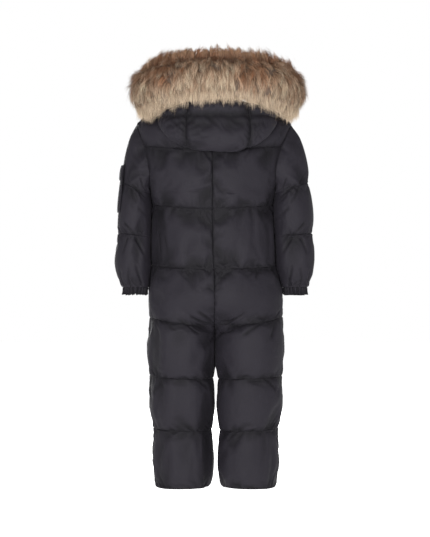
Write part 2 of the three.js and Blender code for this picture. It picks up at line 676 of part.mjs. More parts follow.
// The slider, its back on the zip at y 0, with two cheeks that hold the pull tab's pin.
function sliderGeometry() {
  const { width, length, thick, cheek, pin } = SLIDER;
  const outline = new THREE.Shape();
  outline.moveTo(-width * 0.3, -length / 2);
  outline.lineTo(width * 0.3, -length / 2);
  outline.quadraticCurveTo(width * 0.36, 0, width / 2, length * 0.3);
  outline.quadraticCurveTo(width / 2, length / 2, width * 0.3, length / 2);
  outline.lineTo(-width * 0.3, length / 2);
  outline.quadraticCurveTo(-width / 2, length / 2, -width / 2, length * 0.3);
  outline.quadraticCurveTo(-width * 0.36, 0, -width * 0.3, -length / 2);
  const body = new THREE.ExtrudeGeometry(outline, { depth: thick, bevelEnabled: false, curveSegments: 3 });
  body.rotateX(Math.PI / 2);
  const between = PULL.head / 2 + SEAM_GAP;
  const cheeks = [-1, 1].map((side) =>
    new THREE.BoxGeometry(cheek, PULL.standsOff + pin + 1, 3.2).translate(
      side * (between + cheek / 2),
      -thick - (PULL.standsOff + pin) / 2 + 0.4,
      -PULL.above,
    ),
  );
  const rod = new THREE.CylinderGeometry(pin, pin, 2 * between + cheek, 10)
    .rotateZ(Math.PI / 2)
    .translate(0, -thick - PULL.standsOff, -PULL.above);
  return joined([body, ...cheeks, rod]);
}

// The pull tab hangs from the barrel round its pin, whose middle is its origin.
function pullGeometry() {
  const { width, head, length, thick, barrel, bore } = PULL;
  const outline = new THREE.Shape();
  outline.moveTo(-head / 2, 0);
  outline.lineTo(head / 2, 0);
  outline.lineTo(head / 2, -length * 0.4);
  outline.quadraticCurveTo(width / 2, -length * 0.55, width / 2, -length + 3);
  outline.quadraticCurveTo(width / 2, -length, 0, -length);
  outline.quadraticCurveTo(-width / 2, -length, -width / 2, -length + 3);
  outline.quadraticCurveTo(-width / 2, -length * 0.55, -head / 2, -length * 0.4);
  const tab = new THREE.ExtrudeGeometry(outline, { depth: thick, bevelEnabled: false, curveSegments: 4 });
  tab.rotateX(Math.PI / 2).translate(0, thick / 2, 0);
  const round = new THREE.CylinderGeometry(barrel, barrel, head, 16).rotateZ(Math.PI / 2);
  const hole = new THREE.CylinderGeometry(bore, bore, head + 2, 12).rotateZ(Math.PI / 2);
  return joined([tab, round], [hole]);
}

// A patch over the sleeve's own surface, moved out.
function patchGrid(patch, inner) {
  const rows = inner ? [0, 1] : Array.from({ length: patch.rows + 1 }, (_, row) => row / patch.rows);
  const columns = patch.columns;
  return rows.map((down) =>
    Array.from({ length: columns + 1 }, (_, column) => {
      const share = column / columns;
      const turn = radians(lerp(patch.from, patch.to, share));
      const level = lerp(patch.top, patch.bottom, down);
      const thick = inner ? 0 : patch.thick * edgeRound(share, down);
      return patchPoint(turn, level, patch.lift + thick);
    }),
  );
}

function edgeRound(share, down) {
  const side = Math.sin(Math.PI * share) ** 0.35;
  const end = Math.sin(Math.PI * down) ** 0.35;
  return Math.max(side * end, 0.45);
}

// The point at a level on the outer sleeve: the place along the sleeve is found by halving.
function patchPoint(turn, level, off) {
  let [low, high] = [0, 2];
  for (let count = 0; count < 24; count += 1) {
    const middle = (low + high) / 2;
    if (sleeveCrown(1, turn, middle).z > level) low = middle;
    else high = middle;
  }
  const point = sleeveCrown(1, turn, low);
  point.addScaledVector(sleeveNormal(1, turn, low), off);
  point.x += SEAM_GAP * 1.5;
  return point;
}

// A ring of the fur at a place from one front end, -7, round the back, 0, to the other, 7.
function furFrame(run) {
  const side = run < 0 ? -1 : 1;
  const row = readTable(FUR, "run", Math.abs(run));
  const centre = new THREE.Vector3(side * row.out + FUR_SHIFT, row.back, row.up);
  return { centre, wide: row.wide, high: row.high };
}

// How many times wider than the body's section a point lies, where 1 is on its surface.
function bodyRatio(point) {
  let level = point.z;
  let ratio = 1;
  for (let count = 0; count < 4; count += 1) {
    const torso = readTable(TORSO, "level", level);
    const across = Math.abs(point.x - torso.shift) / torso.half;
    const deep = Math.abs(point.y) / (point.y > 0 ? torso.back : torso.front);
    ratio = (across ** torso.bend + deep ** torso.bend) ** (1 / torso.bend);
    level = point.z + neckDip(point.y, level) * (deep / ratio) ** torso.bend;
  }
  return ratio;
}

// Moves a point out of the body until it lies a gap off its surface.
function restOnBody(point, gap) {
  for (let count = 0; count < 8; count += 1) {
    const slope = new THREE.Vector3();
    for (const axis of ["x", "y", "z"]) {
      const ahead = point.clone();
      const behind = point.clone();
      ahead[axis] += 0.5;
      behind[axis] -= 0.5;
      slope[axis] = bodyRatio(ahead) - bodyRatio(behind);
    }
    const steep = Math.max(slope.length(), 1e-4);
    const away = (bodyRatio(point) - 1) / steep;
    if (away >= gap) return point;
    point.addScaledVector(slope, Math.min(gap - away, 12) / steep);
  }
  return point;
}

function furOutward(run) {
  const ahead = furFrame(run + 0.05).centre.sub(furFrame(run - 0.05).centre).setZ(0).normalize();
  return new THREE.Vector3(-ahead.y, ahead.x, 0);
}

// Moves a point out of the fur at a place along it.
function clearOfFur(point, run, gap) {
  const { centre, wide, high } = furFrame(run);
  const outward = furOutward(run);
  const away = point.clone().sub(centre);
  const [across, up] = [away.dot(outward), away.z];
  const ratio = Math.hypot(across / (wide + gap), up / (high + gap));
  if (ratio >= 1) return point;
  return point.addScaledVector(outward, across * (1 / ratio - 1)).setZ(point.z + up * (1 / ratio - 1));
}

function furRing(run) {
  const ends = FUR.at(-1).run;
  const { centre, wide, high } = furFrame(run);
  const outward = furOutward(run);
  const rest = lerp(FUR_REST.onHood, FUR_REST.onBody, smoothStep(FUR_REST.from, FUR_REST.to, Math.abs(run)));
  const taper = Math.sqrt(1 - 0.8 * smoothStep(ends * 0.8, ends, Math.abs(run)) ** 2);
  return Array.from({ length: FUR_SIDES }, (_, corner) => {
    const turn = (2 * Math.PI * corner) / FUR_SIDES;
    const lock = FUR_LOCK * Math.sin(2.3 * run + 5 * turn) * Math.cos(3.1 * run - 2 * turn);
    const point = centre.clone().addScaledVector(outward, (wide + lock) * Math.cos(turn) * taper);
    point.z += (high + lock) * Math.sin(turn) * taper;
    return restOnBody(point, rest);
  });
}

function furGeometry() {
  const ends = FUR.at(-1).run;
  const rings = Array.from({ length: FUR_STEPS + 1 }, (_, step) =>
    furRing(lerp(-ends, ends, step / FUR_STEPS)),
  );
  const points = rings.flat().flatMap((point) => point.toArray());
  const triangles = [];
  for (let step = 0; step < FUR_STEPS; step += 1) {
    for (let corner = 0; corner < FUR_SIDES; corner += 1) {
      const [a, b] = [step * FUR_SIDES + corner, step * FUR_SIDES + ((corner + 1) % FUR_SIDES)];
      triangles.push(a, b, b + FUR_SIDES, a, b + FUR_SIDES, a + FUR_SIDES);
    }
  }
  for (const step of [0, FUR_STEPS]) {
    const middle = new THREE.Vector3();
    for (const point of rings[step]) middle.addScaledVector(point, 1 / FUR_SIDES);
    const before = rings[step === 0 ? 1 : FUR_STEPS - 1];
    const inside = new THREE.Vector3();
    for (const point of before) inside.addScaledVector(point, 1 / FUR_SIDES);
    middle.addScaledVector(middle.clone().sub(inside).normalize(), 5);
    const tip = points.push(middle.x, middle.y, middle.z) / 3 - 1;
    for (let corner = 0; corner < FUR_SIDES; corner += 1) {
      const [a, b] = [step * FUR_SIDES + corner, step * FUR_SIDES + ((corner + 1) % FUR_SIDES)];
      triangles.push(...(step === 0 ? [b, a, tip] : [a, b, tip]));
    }
  }
  return solidFrom(points, triangles);
}

// A point on the middle of the hood's wall: from the neck seam at 0, down round the pouch, to the
// edge under the fur at 1.
function hoodMiddle(run, along) {
  const side = run < 0 ? -1 : 1;
  const row = readTable(HOOD_POUCH, "run", Math.abs(run));
  const turn = side > 0 ? radians(row.turn) : Math.PI - radians(row.turn);
  const seam = neckline(turn);
  const away = new THREE.Vector3(Math.cos(turn), Math.sin(turn), 0);
  const neck = seam.addScaledVector(away, HOOD.fromCollar);
  neck.z += HOOD.aboveSeam;
  const { centre: edge, high } = furFrame(run);
  edge.z -= high + row.gap;
  const fromNeck = edge.clone().sub(neck).setZ(0).normalize();
  const pullNeck = neck.clone().addScaledVector(fromNeck, row.neckSwell);
  const pullEdge = edge.clone().addScaledVector(fromNeck, row.edgeSwell);
  pullNeck.z -= row.neckDrop;
  pullEdge.z -= row.edgeDrop;
  pullNeck.x += side * row.spread;
  pullEdge.x += side * row.spread;
  const left = 1 - along;
  const middle = neck
    .multiplyScalar(left ** 3)
    .addScaledVector(pullNeck, 3 * left ** 2 * along)
    .addScaledVector(pullEdge, 3 * left * along ** 2)
    .addScaledVector(edge, along ** 3);
  const { wall, swell } = readTable(HOOD_WALL, "run", Math.abs(run));
  const off = lerp(wall / 2 + swell + FUR_LOCK + 1.5, row.gap, smoothStep(0.85, 1, along));
  for (let count = 0; count < 4; count += 1) {
    clearOfFur(middle, run, off);
    restOnBody(middle, wall / 2 + swell + 1.8);
  }
  return middle;
}

function hoodPoint(run, along, inner, seamShift) {
  const step = 0.05;
  const round = hoodMiddle(run + step, along).sub(hoodMiddle(run - step, along)).normalize();
  const down = hoodMiddle(run, Math.min(along + step, 1)).sub(hoodMiddle(run, Math.max(along - step, 0)));
  const normal = round.clone().cross(down).normalize();
  const panel = besideSeam((Math.abs(run) - HOOD_PANEL_EDGE) * 45, 10, 0.4);
  const { wall, swell } = readTable(HOOD_WALL, "run", Math.abs(run));
  const full = swell * panel * (along < 0.86 ? pillow(along / 0.86) : pillow((along - 0.86) / 0.14));
  const point = hoodMiddle(run, along).addScaledVector(round, seamShift);
  return point.addScaledVector(normal, inner ? wall / 2 : -wall / 2 - full);
}

function hoodGrid({ from, to, columns, joinsStart, joinsEnd }, inner) {
  return HOOD_ROWS.map((along) =>
    Array.from({ length: columns + 1 }, (_, column) => {
      const start = column === 0 && joinsStart ? SEAM_GAP * 2 : 0;
      const end = column === columns && joinsEnd ? -SEAM_GAP * 2 : 0;
      return hoodPoint(lerp(from, to, column / columns), along, inner, start + end);
    }),
  );
}

const suit = new THREE.Group();

function addPiece(name, geometry, material) {
  const mesh = new THREE.Mesh(geometry, material);
  mesh.name = name;
  suit.add(mesh);
  return mesh;
}

for (const [side, wearerSide] of [[1, "left"], [-1, "right"]]) {
  for (const [face, faceName] of [[1, "back"], [-1, "front"]]) {
    const panel = clothWall(bodyGrid(side, face, false), bodyGrid(side, face, true));
    addPiece(`${faceName}_${wearerSide}`, panel, CLOTH);
  }
  addPiece(`sleeve_${wearerSide}`, clothWall(sleeveGrid(side, false), sleeveGrid(side, true), true), CLOTH);
  addPiece(`cuff_${wearerSide}`, clothWall(cuffGrid(side, false), cuffGrid(side, true), true), CUFF_CLOTH);
}

addPiece("collar", clothWall(collarGrid(false), collarGrid(true)), CLOTH);

const edge = HOOD_PANEL_EDGE;
const HOOD_PANELS = [
  { name: "hood_centre", from: -edge, to: edge, columns: 8, joinsStart: true, joinsEnd: true },
  { name: "hood_left", from: edge, to: HOOD.end, columns: 12, joinsStart: true, joinsEnd: false },
  { name: "hood_right", from: -HOOD.end, to: -edge, columns: 12, joinsStart: false, joinsEnd: true },
];
for (const panel of HOOD_PANELS) {
  addPiece(panel.name, clothWall(hoodGrid(panel, false), hoodGrid(panel, true)), CLOTH);
}

addPiece("fur_trim", furGeometry(), FUR_HAIR);

for (const [name, patch] of [["pocket_left_sleeve", POCKET], ["pocket_flap", FLAP]]) {
  addPiece(name, clothWall(patchGrid(patch, false), patchGrid(patch, true)), CLOTH);
}

addPiece("zip", clothWall(zipGrid(false), zipGrid(true)), ZIP_BLACK);

// The slider stands at the top of the zip, clear of the collar's swell, with the tab on its front.
const zipTop = collarPoint(-Math.PI / 2, 1, false);
const swellingOut = collarPoint(-Math.PI / 2, 0.5, false);
const slider = addPiece("zip_slider", sliderGeometry(), ZIP_METAL);
slider.position.set(zipTop.x, swellingOut.y + SEAM_GAP / 2, zipTop.z - SLIDER.below);
const pull = addPiece("zip_pull", pullGeometry(), ZIP_METAL);
pull.position.copy(slider.position).add(new THREE.Vector3(0, -SLIDER.thick - PULL.standsOff, -PULL.above));

export default suit;
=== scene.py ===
import math

import bmesh
import bpy
import numpy as np
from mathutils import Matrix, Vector


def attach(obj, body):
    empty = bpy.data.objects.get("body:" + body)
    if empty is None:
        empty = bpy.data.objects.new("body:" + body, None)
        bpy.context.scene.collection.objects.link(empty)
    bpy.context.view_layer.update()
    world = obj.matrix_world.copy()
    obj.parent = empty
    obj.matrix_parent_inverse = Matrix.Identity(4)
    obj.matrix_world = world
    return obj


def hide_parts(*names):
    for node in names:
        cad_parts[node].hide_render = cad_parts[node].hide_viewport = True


MM = 0.001
SEAM_GAP = 0.3

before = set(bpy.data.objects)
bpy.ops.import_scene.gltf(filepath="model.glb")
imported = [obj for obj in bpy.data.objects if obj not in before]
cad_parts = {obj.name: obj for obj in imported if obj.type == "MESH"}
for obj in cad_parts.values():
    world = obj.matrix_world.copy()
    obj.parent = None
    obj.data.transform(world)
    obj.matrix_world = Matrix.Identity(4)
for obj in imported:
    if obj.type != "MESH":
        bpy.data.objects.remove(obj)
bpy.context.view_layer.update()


# Sizes of the suit

WALL_AT_QUILTING = 3
PUFF = 5.5
WALL_AT_CROWN = WALL_AT_QUILTING + PUFF
LINING_PUFF = 2.5

# Body sections over the puffed chambers. Above the armpit the half width runs on past the armhole.
TORSO_COLUMNS = ("level", "half", "back", "front", "shift", "bend")
TORSO_ROWS = (
    (8, 56, 46, 50, 2, 2.1),
    (3, 82, 53, 57, 2, 2.1),
    (-5, 112, 60, 64, 3, 2.1),
    (-15, 138, 67, 70, 3, 2.2),
    (-30, 155, 75, 77, 3, 2.3),
    (-50, 156, 83, 84, 4, 2.4),
    (-75, 152, 89, 89, 5, 2.4),
    (-100, 148, 92, 92, 6, 2.4),
    (-130, 140, 94, 94, 6, 2.4),
    (-150, 131, 94, 95, 6, 2.4),
    (-165, 124, 94, 96, 6, 2.4),
    (-230, 122, 92, 98, 6, 2.4),
    (-300, 124, 95, 100, 4, 2.4),
    (-340, 129, 99, 99, 1, 2.4),
    (-380, 133, 101, 97, -1, 2.4),
    (-420, 135.5, 98, 94, -1, 2.4),
    (-470, 136, 94, 91, -0.5, 2.4),
)
LEG_COLUMNS = ("level", "outer", "inner", "back", "front")
LEG_BEND = 2.3
LEG_ROWS = (
    (-340, 128, 0.5, 92, 88),
    (-400, 135, 0.5, 93, 88),
    (-455, 136, 0.5, 91, 87),
    (-480, 136, 0.5, 88, 85),
    (-505, 135, 1, 85, 82),
    (-530, 135, 0.5, 82, 79),
    (-585, 132, 1.5, 77, 74),
    (-620, 129, 3, 73, 71),
    (-650, 127, 3.5, 71, 69),
    (-700, 126, 3.5, 69, 67),
    (-740, 124, 5, 67, 65),
    (-752, 123, 7, 65, 63),
)
SHOULDER_TIP = -30
ARMPIT = -165
ARMHOLE_COLUMNS = ("level", "out")
ARMHOLE_ROWS = (
    (SHOULDER_TIP, 155),
    (-50, 148),
    (-75, 139),
    (-100, 131),
    (-125, 126),
    (-150, 124),
    (ARMPIT, 124),
)
CROTCH_TOP = -360
CROTCH_BOTTOM = -442
# The insides of the legs lie against each other down to this level.
LEGS_TOUCH = -506
# The centre seam leans aside from front to back, so that no straight gap shows between the legs.
SEAM_SLANT = {"aside": 1.8, "deep": 24}
# The body's side bulges a little into the sleeve that lies against it.
SLEEVE_NEST = {"out": 3.2, "half": 9}
SIDE_SEAM_HALF_GAP = 0.03
NECK_DIP_FRONT = 30
NECK_DIP_BACK = 4
NECK_DIP_ENDS = -110

# A quarter of the body's round as a multiple of its half width, and half a leg's round at most.
QUARTER_FOR_SEAMS = 1.3
QUARTER_FOR_FOLDS = 1.45
QUARTER_FOR_SHADE = 1.5
LEG_HALF_ROUND = 260

# Quilting lines round the body: their level at the side seam and at the centre seam or inseam.
QUILT_AT_SIDE = (8, -76.6, -191, -311, -413, -530, -634, -752)
QUILT_AT_CENTRE = (8, -83, -200, -317, -431, -536, -638, -751)
BODY_COLUMNS = 60
CHAMBER_ROWS = 30
BELOW_ARMPIT_ROWS = 8
SHOULDER_ROWS = 13
ARMHOLE_ROWS_ABOVE = 16
ARMHOLE_ROWS_BELOW = 29

SLEEVE_COLUMNS = ("level", "outer", "back", "front", "tilt", "puff")
SLEEVE_ROWS = (
    (-158, 187, 52, 51, 11, 0.9),
    (-205, 193, 50, 50, 6, 0.9),
    (-250, 195, 48, 48, 3, 0.9),
    (-300, 197, 46, 46, 1, 0.9),
    (-330, 195, 42, 42, 0, 0.7),
    (-345, 190, 36, 36, 0, 0.4),
    (-354, 185, 31, 31, 0, 0.2),
)
SLEEVE_LINES = (-158, -250, -354)
SLEEVE_SHIFT = 1
SLEEVE_BEND = 2.2
SLEEVE_CLEAR = 0.3
SLEEVE_AROUND = 96
SLEEVE_CAP_ROWS = 28
SLEEVE_CHAMBER_ROWS = 30
# A sleeve's flat map for folds and puckers: millimetres for a radian round it and for a chamber.
SLEEVE_MAP = {"around": 46, "along": 98, "tall": 96}
CUFF = {"length": 14, "wall": 2.4, "gathers": 22, "depth": 2.4, "flare": -1.2, "tuck": 1.6}
CUFF_AROUND = 216
CUFF_ROWS = 8

# Soft troughs pressed into the quilting: where each starts and ends, how deep and how wide it is.
# Side 1 is the wearer's left and face 1 the back.
# Across 0 is the side seam and 1 the centre seam or inseam.
BODY_FOLD_COLUMNS = ("side", "face", "across", "level", "to_across", "to_level", "deep", "wide")
BODY_FOLDS = (
    (1, 1, 0.99, -437, 0.74, -411, 5.4, 6),
    (1, 1, 0.96, -436, 0.86, -402, 4.4, 5.5),
    (1, 1, 0.95, -446, 0.80, -466, 4.0, 5.5),
    (1, 1, 0.66, -444, 0.55, -416, 4.0, 5.5),
    (1, 1, 0.44, -436, 0.36, -412, 2.4, 6),
    (1, 1, 0.33, -246, 0.38, -298, 2.6, 8),
    (1, 1, 0.46, -252, 0.50, -286, 1.8, 7),
    (1, 1, 0.20, -560, 0.34, -530, 2.6, 7),
    (1, 1, 0.78, -552, 0.62, -530, 2.4, 6),
    (1, 1, 0.03, -214, 0.20, -188, 3.0, 8),
    (1, 1, 0.12, -330, 0.26, -306, 2.4, 7),
    (-1, 1, 0.99, -437, 0.80, -416, 5.4, 6),
    (-1, 1, 0.96, -440, 0.72, -405, 4.4, 5.5),
    (-1, 1, 0.90, -456, 0.74, -438, 4.0, 5.5),
    (-1, 1, 0.54, -446, 0.42, -418, 4.0, 5.5),
    (-1, 1, 0.30, -452, 0.24, -418, 2.4, 7),
    (-1, 1, 0.05, -210, 0.28, -184, 3.2, 8),
    (-1, 1, 0.60, -334, 0.52, -308, 2.0, 6),
    (-1, 1, 0.25, -552, 0.40, -528, 2.6, 7),
    (-1, 1, 0.70, -650, 0.58, -628, 2.2, 6),
    (1, -1, 0.92, -440, 0.66, -412, 3.6, 7),
    (1, -1, 0.40, -452, 0.26, -412, 2.6, 7),
    (1, -1, 0.25, -562, 0.40, -528, 2.4, 7),
    (1, -1, 0.50, -330, 0.42, -300, 2.0, 6),
    (-1, -1, 0.93, -442, 0.70, -410, 3.6, 7),
    (-1, -1, 0.34, -446, 0.22, -416, 2.4, 7),
    (-1, -1, 0.60, -556, 0.46, -530, 2.4, 6),
    (-1, -1, 0.20, -212, 0.32, -186, 2.4, 7),
)
# Short puckers beside the quilting lines, and over what length of seam each of their sizes varies.
PUCKER = {"pitch": 10.5, "slant": 0.14, "reach": 13, "deep": 2.5}
PUCKER_VARIES = {"pitch": 21, "slant": 40, "reach": 15, "deep": 28}
# The narrow furrow that a line of stitches pulls into the quilting.
FURROW = {"deep": 1.1, "half": 1.5}
# On a sleeve, turn 0 is outwards, 90 the back and 180 the side against the body. Along 0 is the
# armhole, 1 and 2 are the quilting lines and 3 is the cuff.
SLEEVE_FOLD_COLUMNS = ("turn", "along", "to_turn", "to_along", "deep", "wide")
SLEEVE_FOLDS = (
    (158, 1.22, 84, 0.95, 4.0, 8),
    (165, 1.42, 112, 1.13, 3.6, 8),
    (150, 1.62, 105, 1.42, 2.8, 7),
    (70, 1.08, 96, 1.30, 2.4, 6),
    (62, 1.78, 92, 1.98, 2.6, 7),
    (128, 2.34, 100, 2.06, 3.0, 7),
    (70, 2.10, 58, 2.36, 2.4, 6),
    (120, 2.95, 104, 2.62, 2.8, 7),
    (72, 2.97, 80, 2.66, 2.4, 6),
    (40, 2.96, 46, 2.70, 2.2, 6),
    (142, 0.86, 104, 0.60, 3.2, 8),
    (205, 1.25, 275, 0.96, 4.0, 8),
    (200, 1.60, 250, 1.40, 2.8, 7),
    (230, 2.30, 262, 2.05, 2.8, 7),
    (300, 2.95, 282, 2.64, 2.6, 7),
)

COLLAR = {"height": 33, "lean": 3, "inside": 5.5, "columns": 120, "rows": 14}
ZIP = {"half": 4, "thick": 2.2, "bottom": -402, "clear": 0.6, "rows": 150}
PATCH_COLUMNS = ("from", "to", "top", "bottom", "thick", "lift", "columns", "rows")
POCKET = dict(zip(PATCH_COLUMNS, (38, -36, -120, -205, 2.4, 0.6, 36, 40)))
FLAP = dict(zip(PATCH_COLUMNS, (40, -38, -113, -141, 2.2, 3.4, 36, 16)))

# The fur trim: the middle of the tube of hair from the centre back to one front end, and how far
# the hair reaches sideways and up and down.
FUR_COLUMNS = ("run", "out", "back", "up", "wide", "high")
FUR_ROWS = (
    (0, 0, 113, 60, 47, 50),
    (1, 50, 109, 58, 47, 50),
    (2, 92, 89, 51, 49, 54),
    (3, 122, 50, 40, 51, 56),
    (4, 127, 4, 36, 50, 53),
    (5, 115, -46, 31, 46, 48),
    (6, 86, -88, 12, 40, 40),
    (7, 54, -112, -10, 33, 34),
)
FUR_END = 7
FUR_SHIFT = -4.5

# The hood hangs in a pouch from the neck seam to the fur, as curves across its cloth.
HOOD = {"from_collar": 6.5, "above_seam": 6}
HOOD_WALL_COLUMNS = ("run", "wall", "swell")
HOOD_WALL_ROWS = (
    (0, 8, 2),
    (1.4, 8, 2),
    (2.5, 4, 0.5),
)
HOOD_COLUMNS = ("run", "turn", "neck_drop", "edge_drop", "neck_swell", "edge_swell", "spread", "gap")
HOOD_ROWS = (
    (0, 90, 130, 120, 40, 34, 0, 3.5),
    (1, 62, 122, 112, 38, 32, 12, 3.5),
    (2, 36, 74, 66, 36, 26, 14, 4),
    (3, 14, 16, 14, 24, -4, 2, 5),
)
HOOD_END = 2.5
HOOD_GROOVE = 2.6
HOOD_PUFF = 1.5
HOOD_PANEL_EDGE = {"at_foot": 0.97, "at_fur": 1.12}
HOOD_SEAM = 0.92
HOOD_AROUND = 56
HOOD_BAND_ROWS = 12
HOOD_SIDE_COLUMNS = 44
HOOD_CENTRE_COLUMNS = 44
# The hood's flat map for seams and puckers: millimetres for a step of run and for its whole depth.
HOOD_MAP = {"around": 45, "down": 190}

STITCH = {"pitch": 3.4, "long": 2.5, "wide": 0.55, "high": 0.35}
TOOTH = {"pitch": 2.6, "long": 2.5, "wide": 1.0, "high": 0.8, "from_middle": 0.7}

# How the cloth crumples: the share by which it is larger than its lining, the down's push on it, its
# stiffness in bending, how high and how far apart lumps of down lie, the steps it is given, and how
# far a point may move. Rows of points closer together than the least one would crease it falsely.
SPARE_CLOTH = 0.036
DOWN_PRESSURE = 0.5
CLOTH_BEND = 0.25
LUMP = {"high": 0.5, "apart": 24.0}
CRUMPLE_STEPS = 16
MOST_CRUMPLE = 4
LEAST_ROW = 0.9

# How strong the painted shade is in folds and seams, from 0 to 1, how far a seam's painted shade reaches
# beside it, and how much painted shade darkens the lining.
FOLD_SHADE = 0.9
SEAM_SHADE_REACH = 2.6
LINING_SHADE = 0.8

# The hair: locks of single hairs all over the tube, and wisps that hang from its lower edge. Guard
# hairs are the longer, paler ones. The spine is where the hair parts, as a turn round the tube.
LOCKS = {"count": 4200, "hairs": 24, "spread": 0.085, "spine": 48, "guards": 0.09}
HAIR_WIDTH = (0.24, 0.42)
HAIR_TAPER = (0.8, 1.0, 0.75, 0.0)
HAIR_RINGS = len(HAIR_TAPER)
HAIR_PARTS = 4
WISPS = {"count": 7000, "run": 5.2, "turn_from": -82, "turn_to": -46, "short": 12, "long": 27}
# Dark patches of the fur: their run and turn, and their size in each.
FUR_PATCHES = ((1.9, 24), (2.2, 50), (0.1, 80), (-2.9, 35), (-1.2, 12), (3.4, 30), (-4.2, 20))
FUR_PATCH = {"run": 0.7, "turn": 0.55}
# Hair colours. The darkest lies only at the roots, as painted shade deep in the fur.
FUR_DARK = np.array([0.080, 0.034, 0.019])
FUR_BROWN = np.array([0.200, 0.096, 0.052])
FUR_BEIGE = np.array([0.285, 0.204, 0.137])
FUR_PALE = np.array([0.60, 0.475, 0.345])


# Reading the tables


def smooth_table(columns, rows):
    """Turns a table into smooth curves of every column, read at any place along its first one."""
    values = np.array(rows, float)
    if values[0, 0] > values[-1, 0]:
        values = values[::-1]
    places = values[:, 0]
    before = values[np.maximum(np.arange(len(values)) - 1, 0)]
    after = values[np.minimum(np.arange(len(values)) + 1, len(values) - 1)]
    slopes = (after - before) / (after[:, :1] - before[:, :1])

    def read(at):
        at = np.clip(np.asarray(at, float), places[0], places[-1])
        low = np.clip(np.searchsorted(places, at, side="right") - 1, 0, len(places) - 2)
        step = places[low + 1] - places[low]
        share = ((at - places[low]) / step)[..., None]
        step = step[..., None]
        squared, cubed = share**2, share**3
        found = values[low] * (2 * cubed - 3 * squared + 1)
        found += values[low + 1] * (3 * squared - 2 * cubed)
        found += slopes[low] * step * (cubed - 2 * squared + share)
        found += slopes[low + 1] * step * (cubed - squared)
        return {name: found[..., index] for index, name in enumerate(columns)}

    return read


torso_at = smooth_table(TORSO_COLUMNS, TORSO_ROWS)
leg_at = smooth_table(LEG_COLUMNS, LEG_ROWS)
armhole_out = smooth_table(ARMHOLE_COLUMNS, ARMHOLE_ROWS)
sleeve_at = smooth_table(SLEEVE_COLUMNS, SLEEVE_ROWS)
fur_at = smooth_table(FUR_COLUMNS, FUR_ROWS)
hood_at = smooth_table(HOOD_COLUMNS, HOOD_ROWS)
hood_wall_at = smooth_table(HOOD_WALL_COLUMNS, HOOD_WALL_ROWS)


def lerp(a, b, share):
    return a + (b - a) * share


def smooth_step(low, high, at):
    share = np.clip((np.asarray(at, float) - low) / (high - low), 0, 1)
    return share * share * (3 - 2 * share)


def rounded_power(value, bend):
    """A power that keeps the sign, for rounded squares as sections."""
    return np.sign(value) * np.abs(value) ** (2 / bend)


def unit(vectors):
    return vectors / np.maximum(np.linalg.norm(vectors, axis=-1, keepdims=True), 1e-9)


def points_of(x, y, z):
    return np.stack(np.broadcast_arrays(x, y, z), axis=-1).astype(float)


def soft_noise(seed, x, y):
    """Smooth noise from -1 to 1 that changes over about one unit of x and y."""
    size = 97
    values = np.random.default_rng(seed).uniform(-1, 1, (size, size))
    x, y = np.broadcast_arrays(np.asarray(x, float), np.asarray(y, float))
    column, row = np.floor(x).astype(int), np.floor(y).astype(int)
    across, up = x - column, y - row
    across, up = across * across * (3 - 2 * across), up * up * (3 - 2 * up)
    pick = lambda right, above: values[(row + above) % size, (column + right) % size]
    low = lerp(pick(0, 0), pick(1, 0), across)
    high = lerp(pick(0, 1), pick(1, 1), across)
    return lerp(low, high, up)


def pillow(share):
    """How full a quilted chamber is, from its lower seam at 0 to its upper seam at 1."""
    inside = np.clip(share, 0, 1) ** 0.8
    return np.maximum(np.sin(np.pi * inside), 0) ** 0.66


def close_at_ends(count, pull=0.62):
    """Shares from 0 to 1 that lie closer together near both ends."""
    even = np.linspace(0, 1, count + 1)
    return even - pull * np.sin(2 * np.pi * even) / (2 * np.pi)


def stitch_line(distance):
    """The narrow furrow that a line of stitches pulls into the quilting, in millimetres."""
    return FURROW["deep"] * np.exp(-((distance / FURROW["half"]) ** 2))


def beside_seam(distance, width, left):
    """How much of the puff is left beside a seam."""
    return 1 - (1 - left) * np.exp(-((distance / width) ** 2))


def trough_at(x, y, start, end, deep, wide):
    """A trough's depth on a flat map in millimetres. It gets shallower towards its end, and the cloth
    beside it is raised a little."""
    run = (end[0] - start[0], end[1] - start[1])
    length = run[0] ** 2 + run[1] ** 2
    along = np.clip(((x - start[0]) * run[0] + (y - start[1]) * run[1]) / length, 0, 1)
    away = np.hypot(x - start[0] - run[0] * along, y - start[1] - run[1] * along)
    off = away / (wide / 2)
    raised = 0.28 * np.exp(-(((off - 1.8) / 0.8) ** 2))
    return deep * (np.exp(-(off**2)) - raised) * (1 - 0.5 * along)


def folds_at(x, y, table, columns, place):
    """The depth of a table's folds on a flat map, where place gives a fold's two ends on it."""
    deep = np.zeros_like(y)
    for row in table:
        fold = dict(zip(columns, row))
        start, end = place(fold)
        own = trough_at(x, y, start, end, fold["deep"], fold["wide"])
        deep = np.where(np.abs(own) > np.abs(deep), own, deep)
    return deep


# The body's surface


def armhole_level(turn):
    return lerp(ARMPIT, SHOULDER_TIP, (1 + np.cos(turn)) / 2)


def panel_start(level):
    """How far round the torso a panel starts: at its side seam, 0, or at the armhole above it."""
    torso = torso_at(level)
    share = np.minimum(armhole_out(level)["out"] / torso["half"], 1)
    beside_armhole = (level > ARMPIT) & (level < SHOULDER_TIP)
    return np.where(beside_armhole, np.arccos(share ** (torso["bend"] / 2)) / (np.pi / 2), 0)


def crotch_share(level, place=1.0):
    """How far the body has parted into legs: quick at the crotch seam, gentle away from it."""
    down = np.clip((CROTCH_TOP - level) / (CROTCH_TOP - CROTCH_BOTTOM), 0, 1)
    gentle = smooth_step(0.1, 1, down)
    return lerp(gentle, 1 - np.sqrt(1 - down**2), smooth_step(0.45, 0.95, place))


def neck_dip(face, level):
    """How far the top edge dips at the centre, which dies away down the body."""
    dip = np.where(np.asarray(face) > 0, NECK_DIP_BACK, NECK_DIP_FRONT)
    return dip * smooth_step(NECK_DIP_ENDS, TORSO_ROWS[0][0], level)


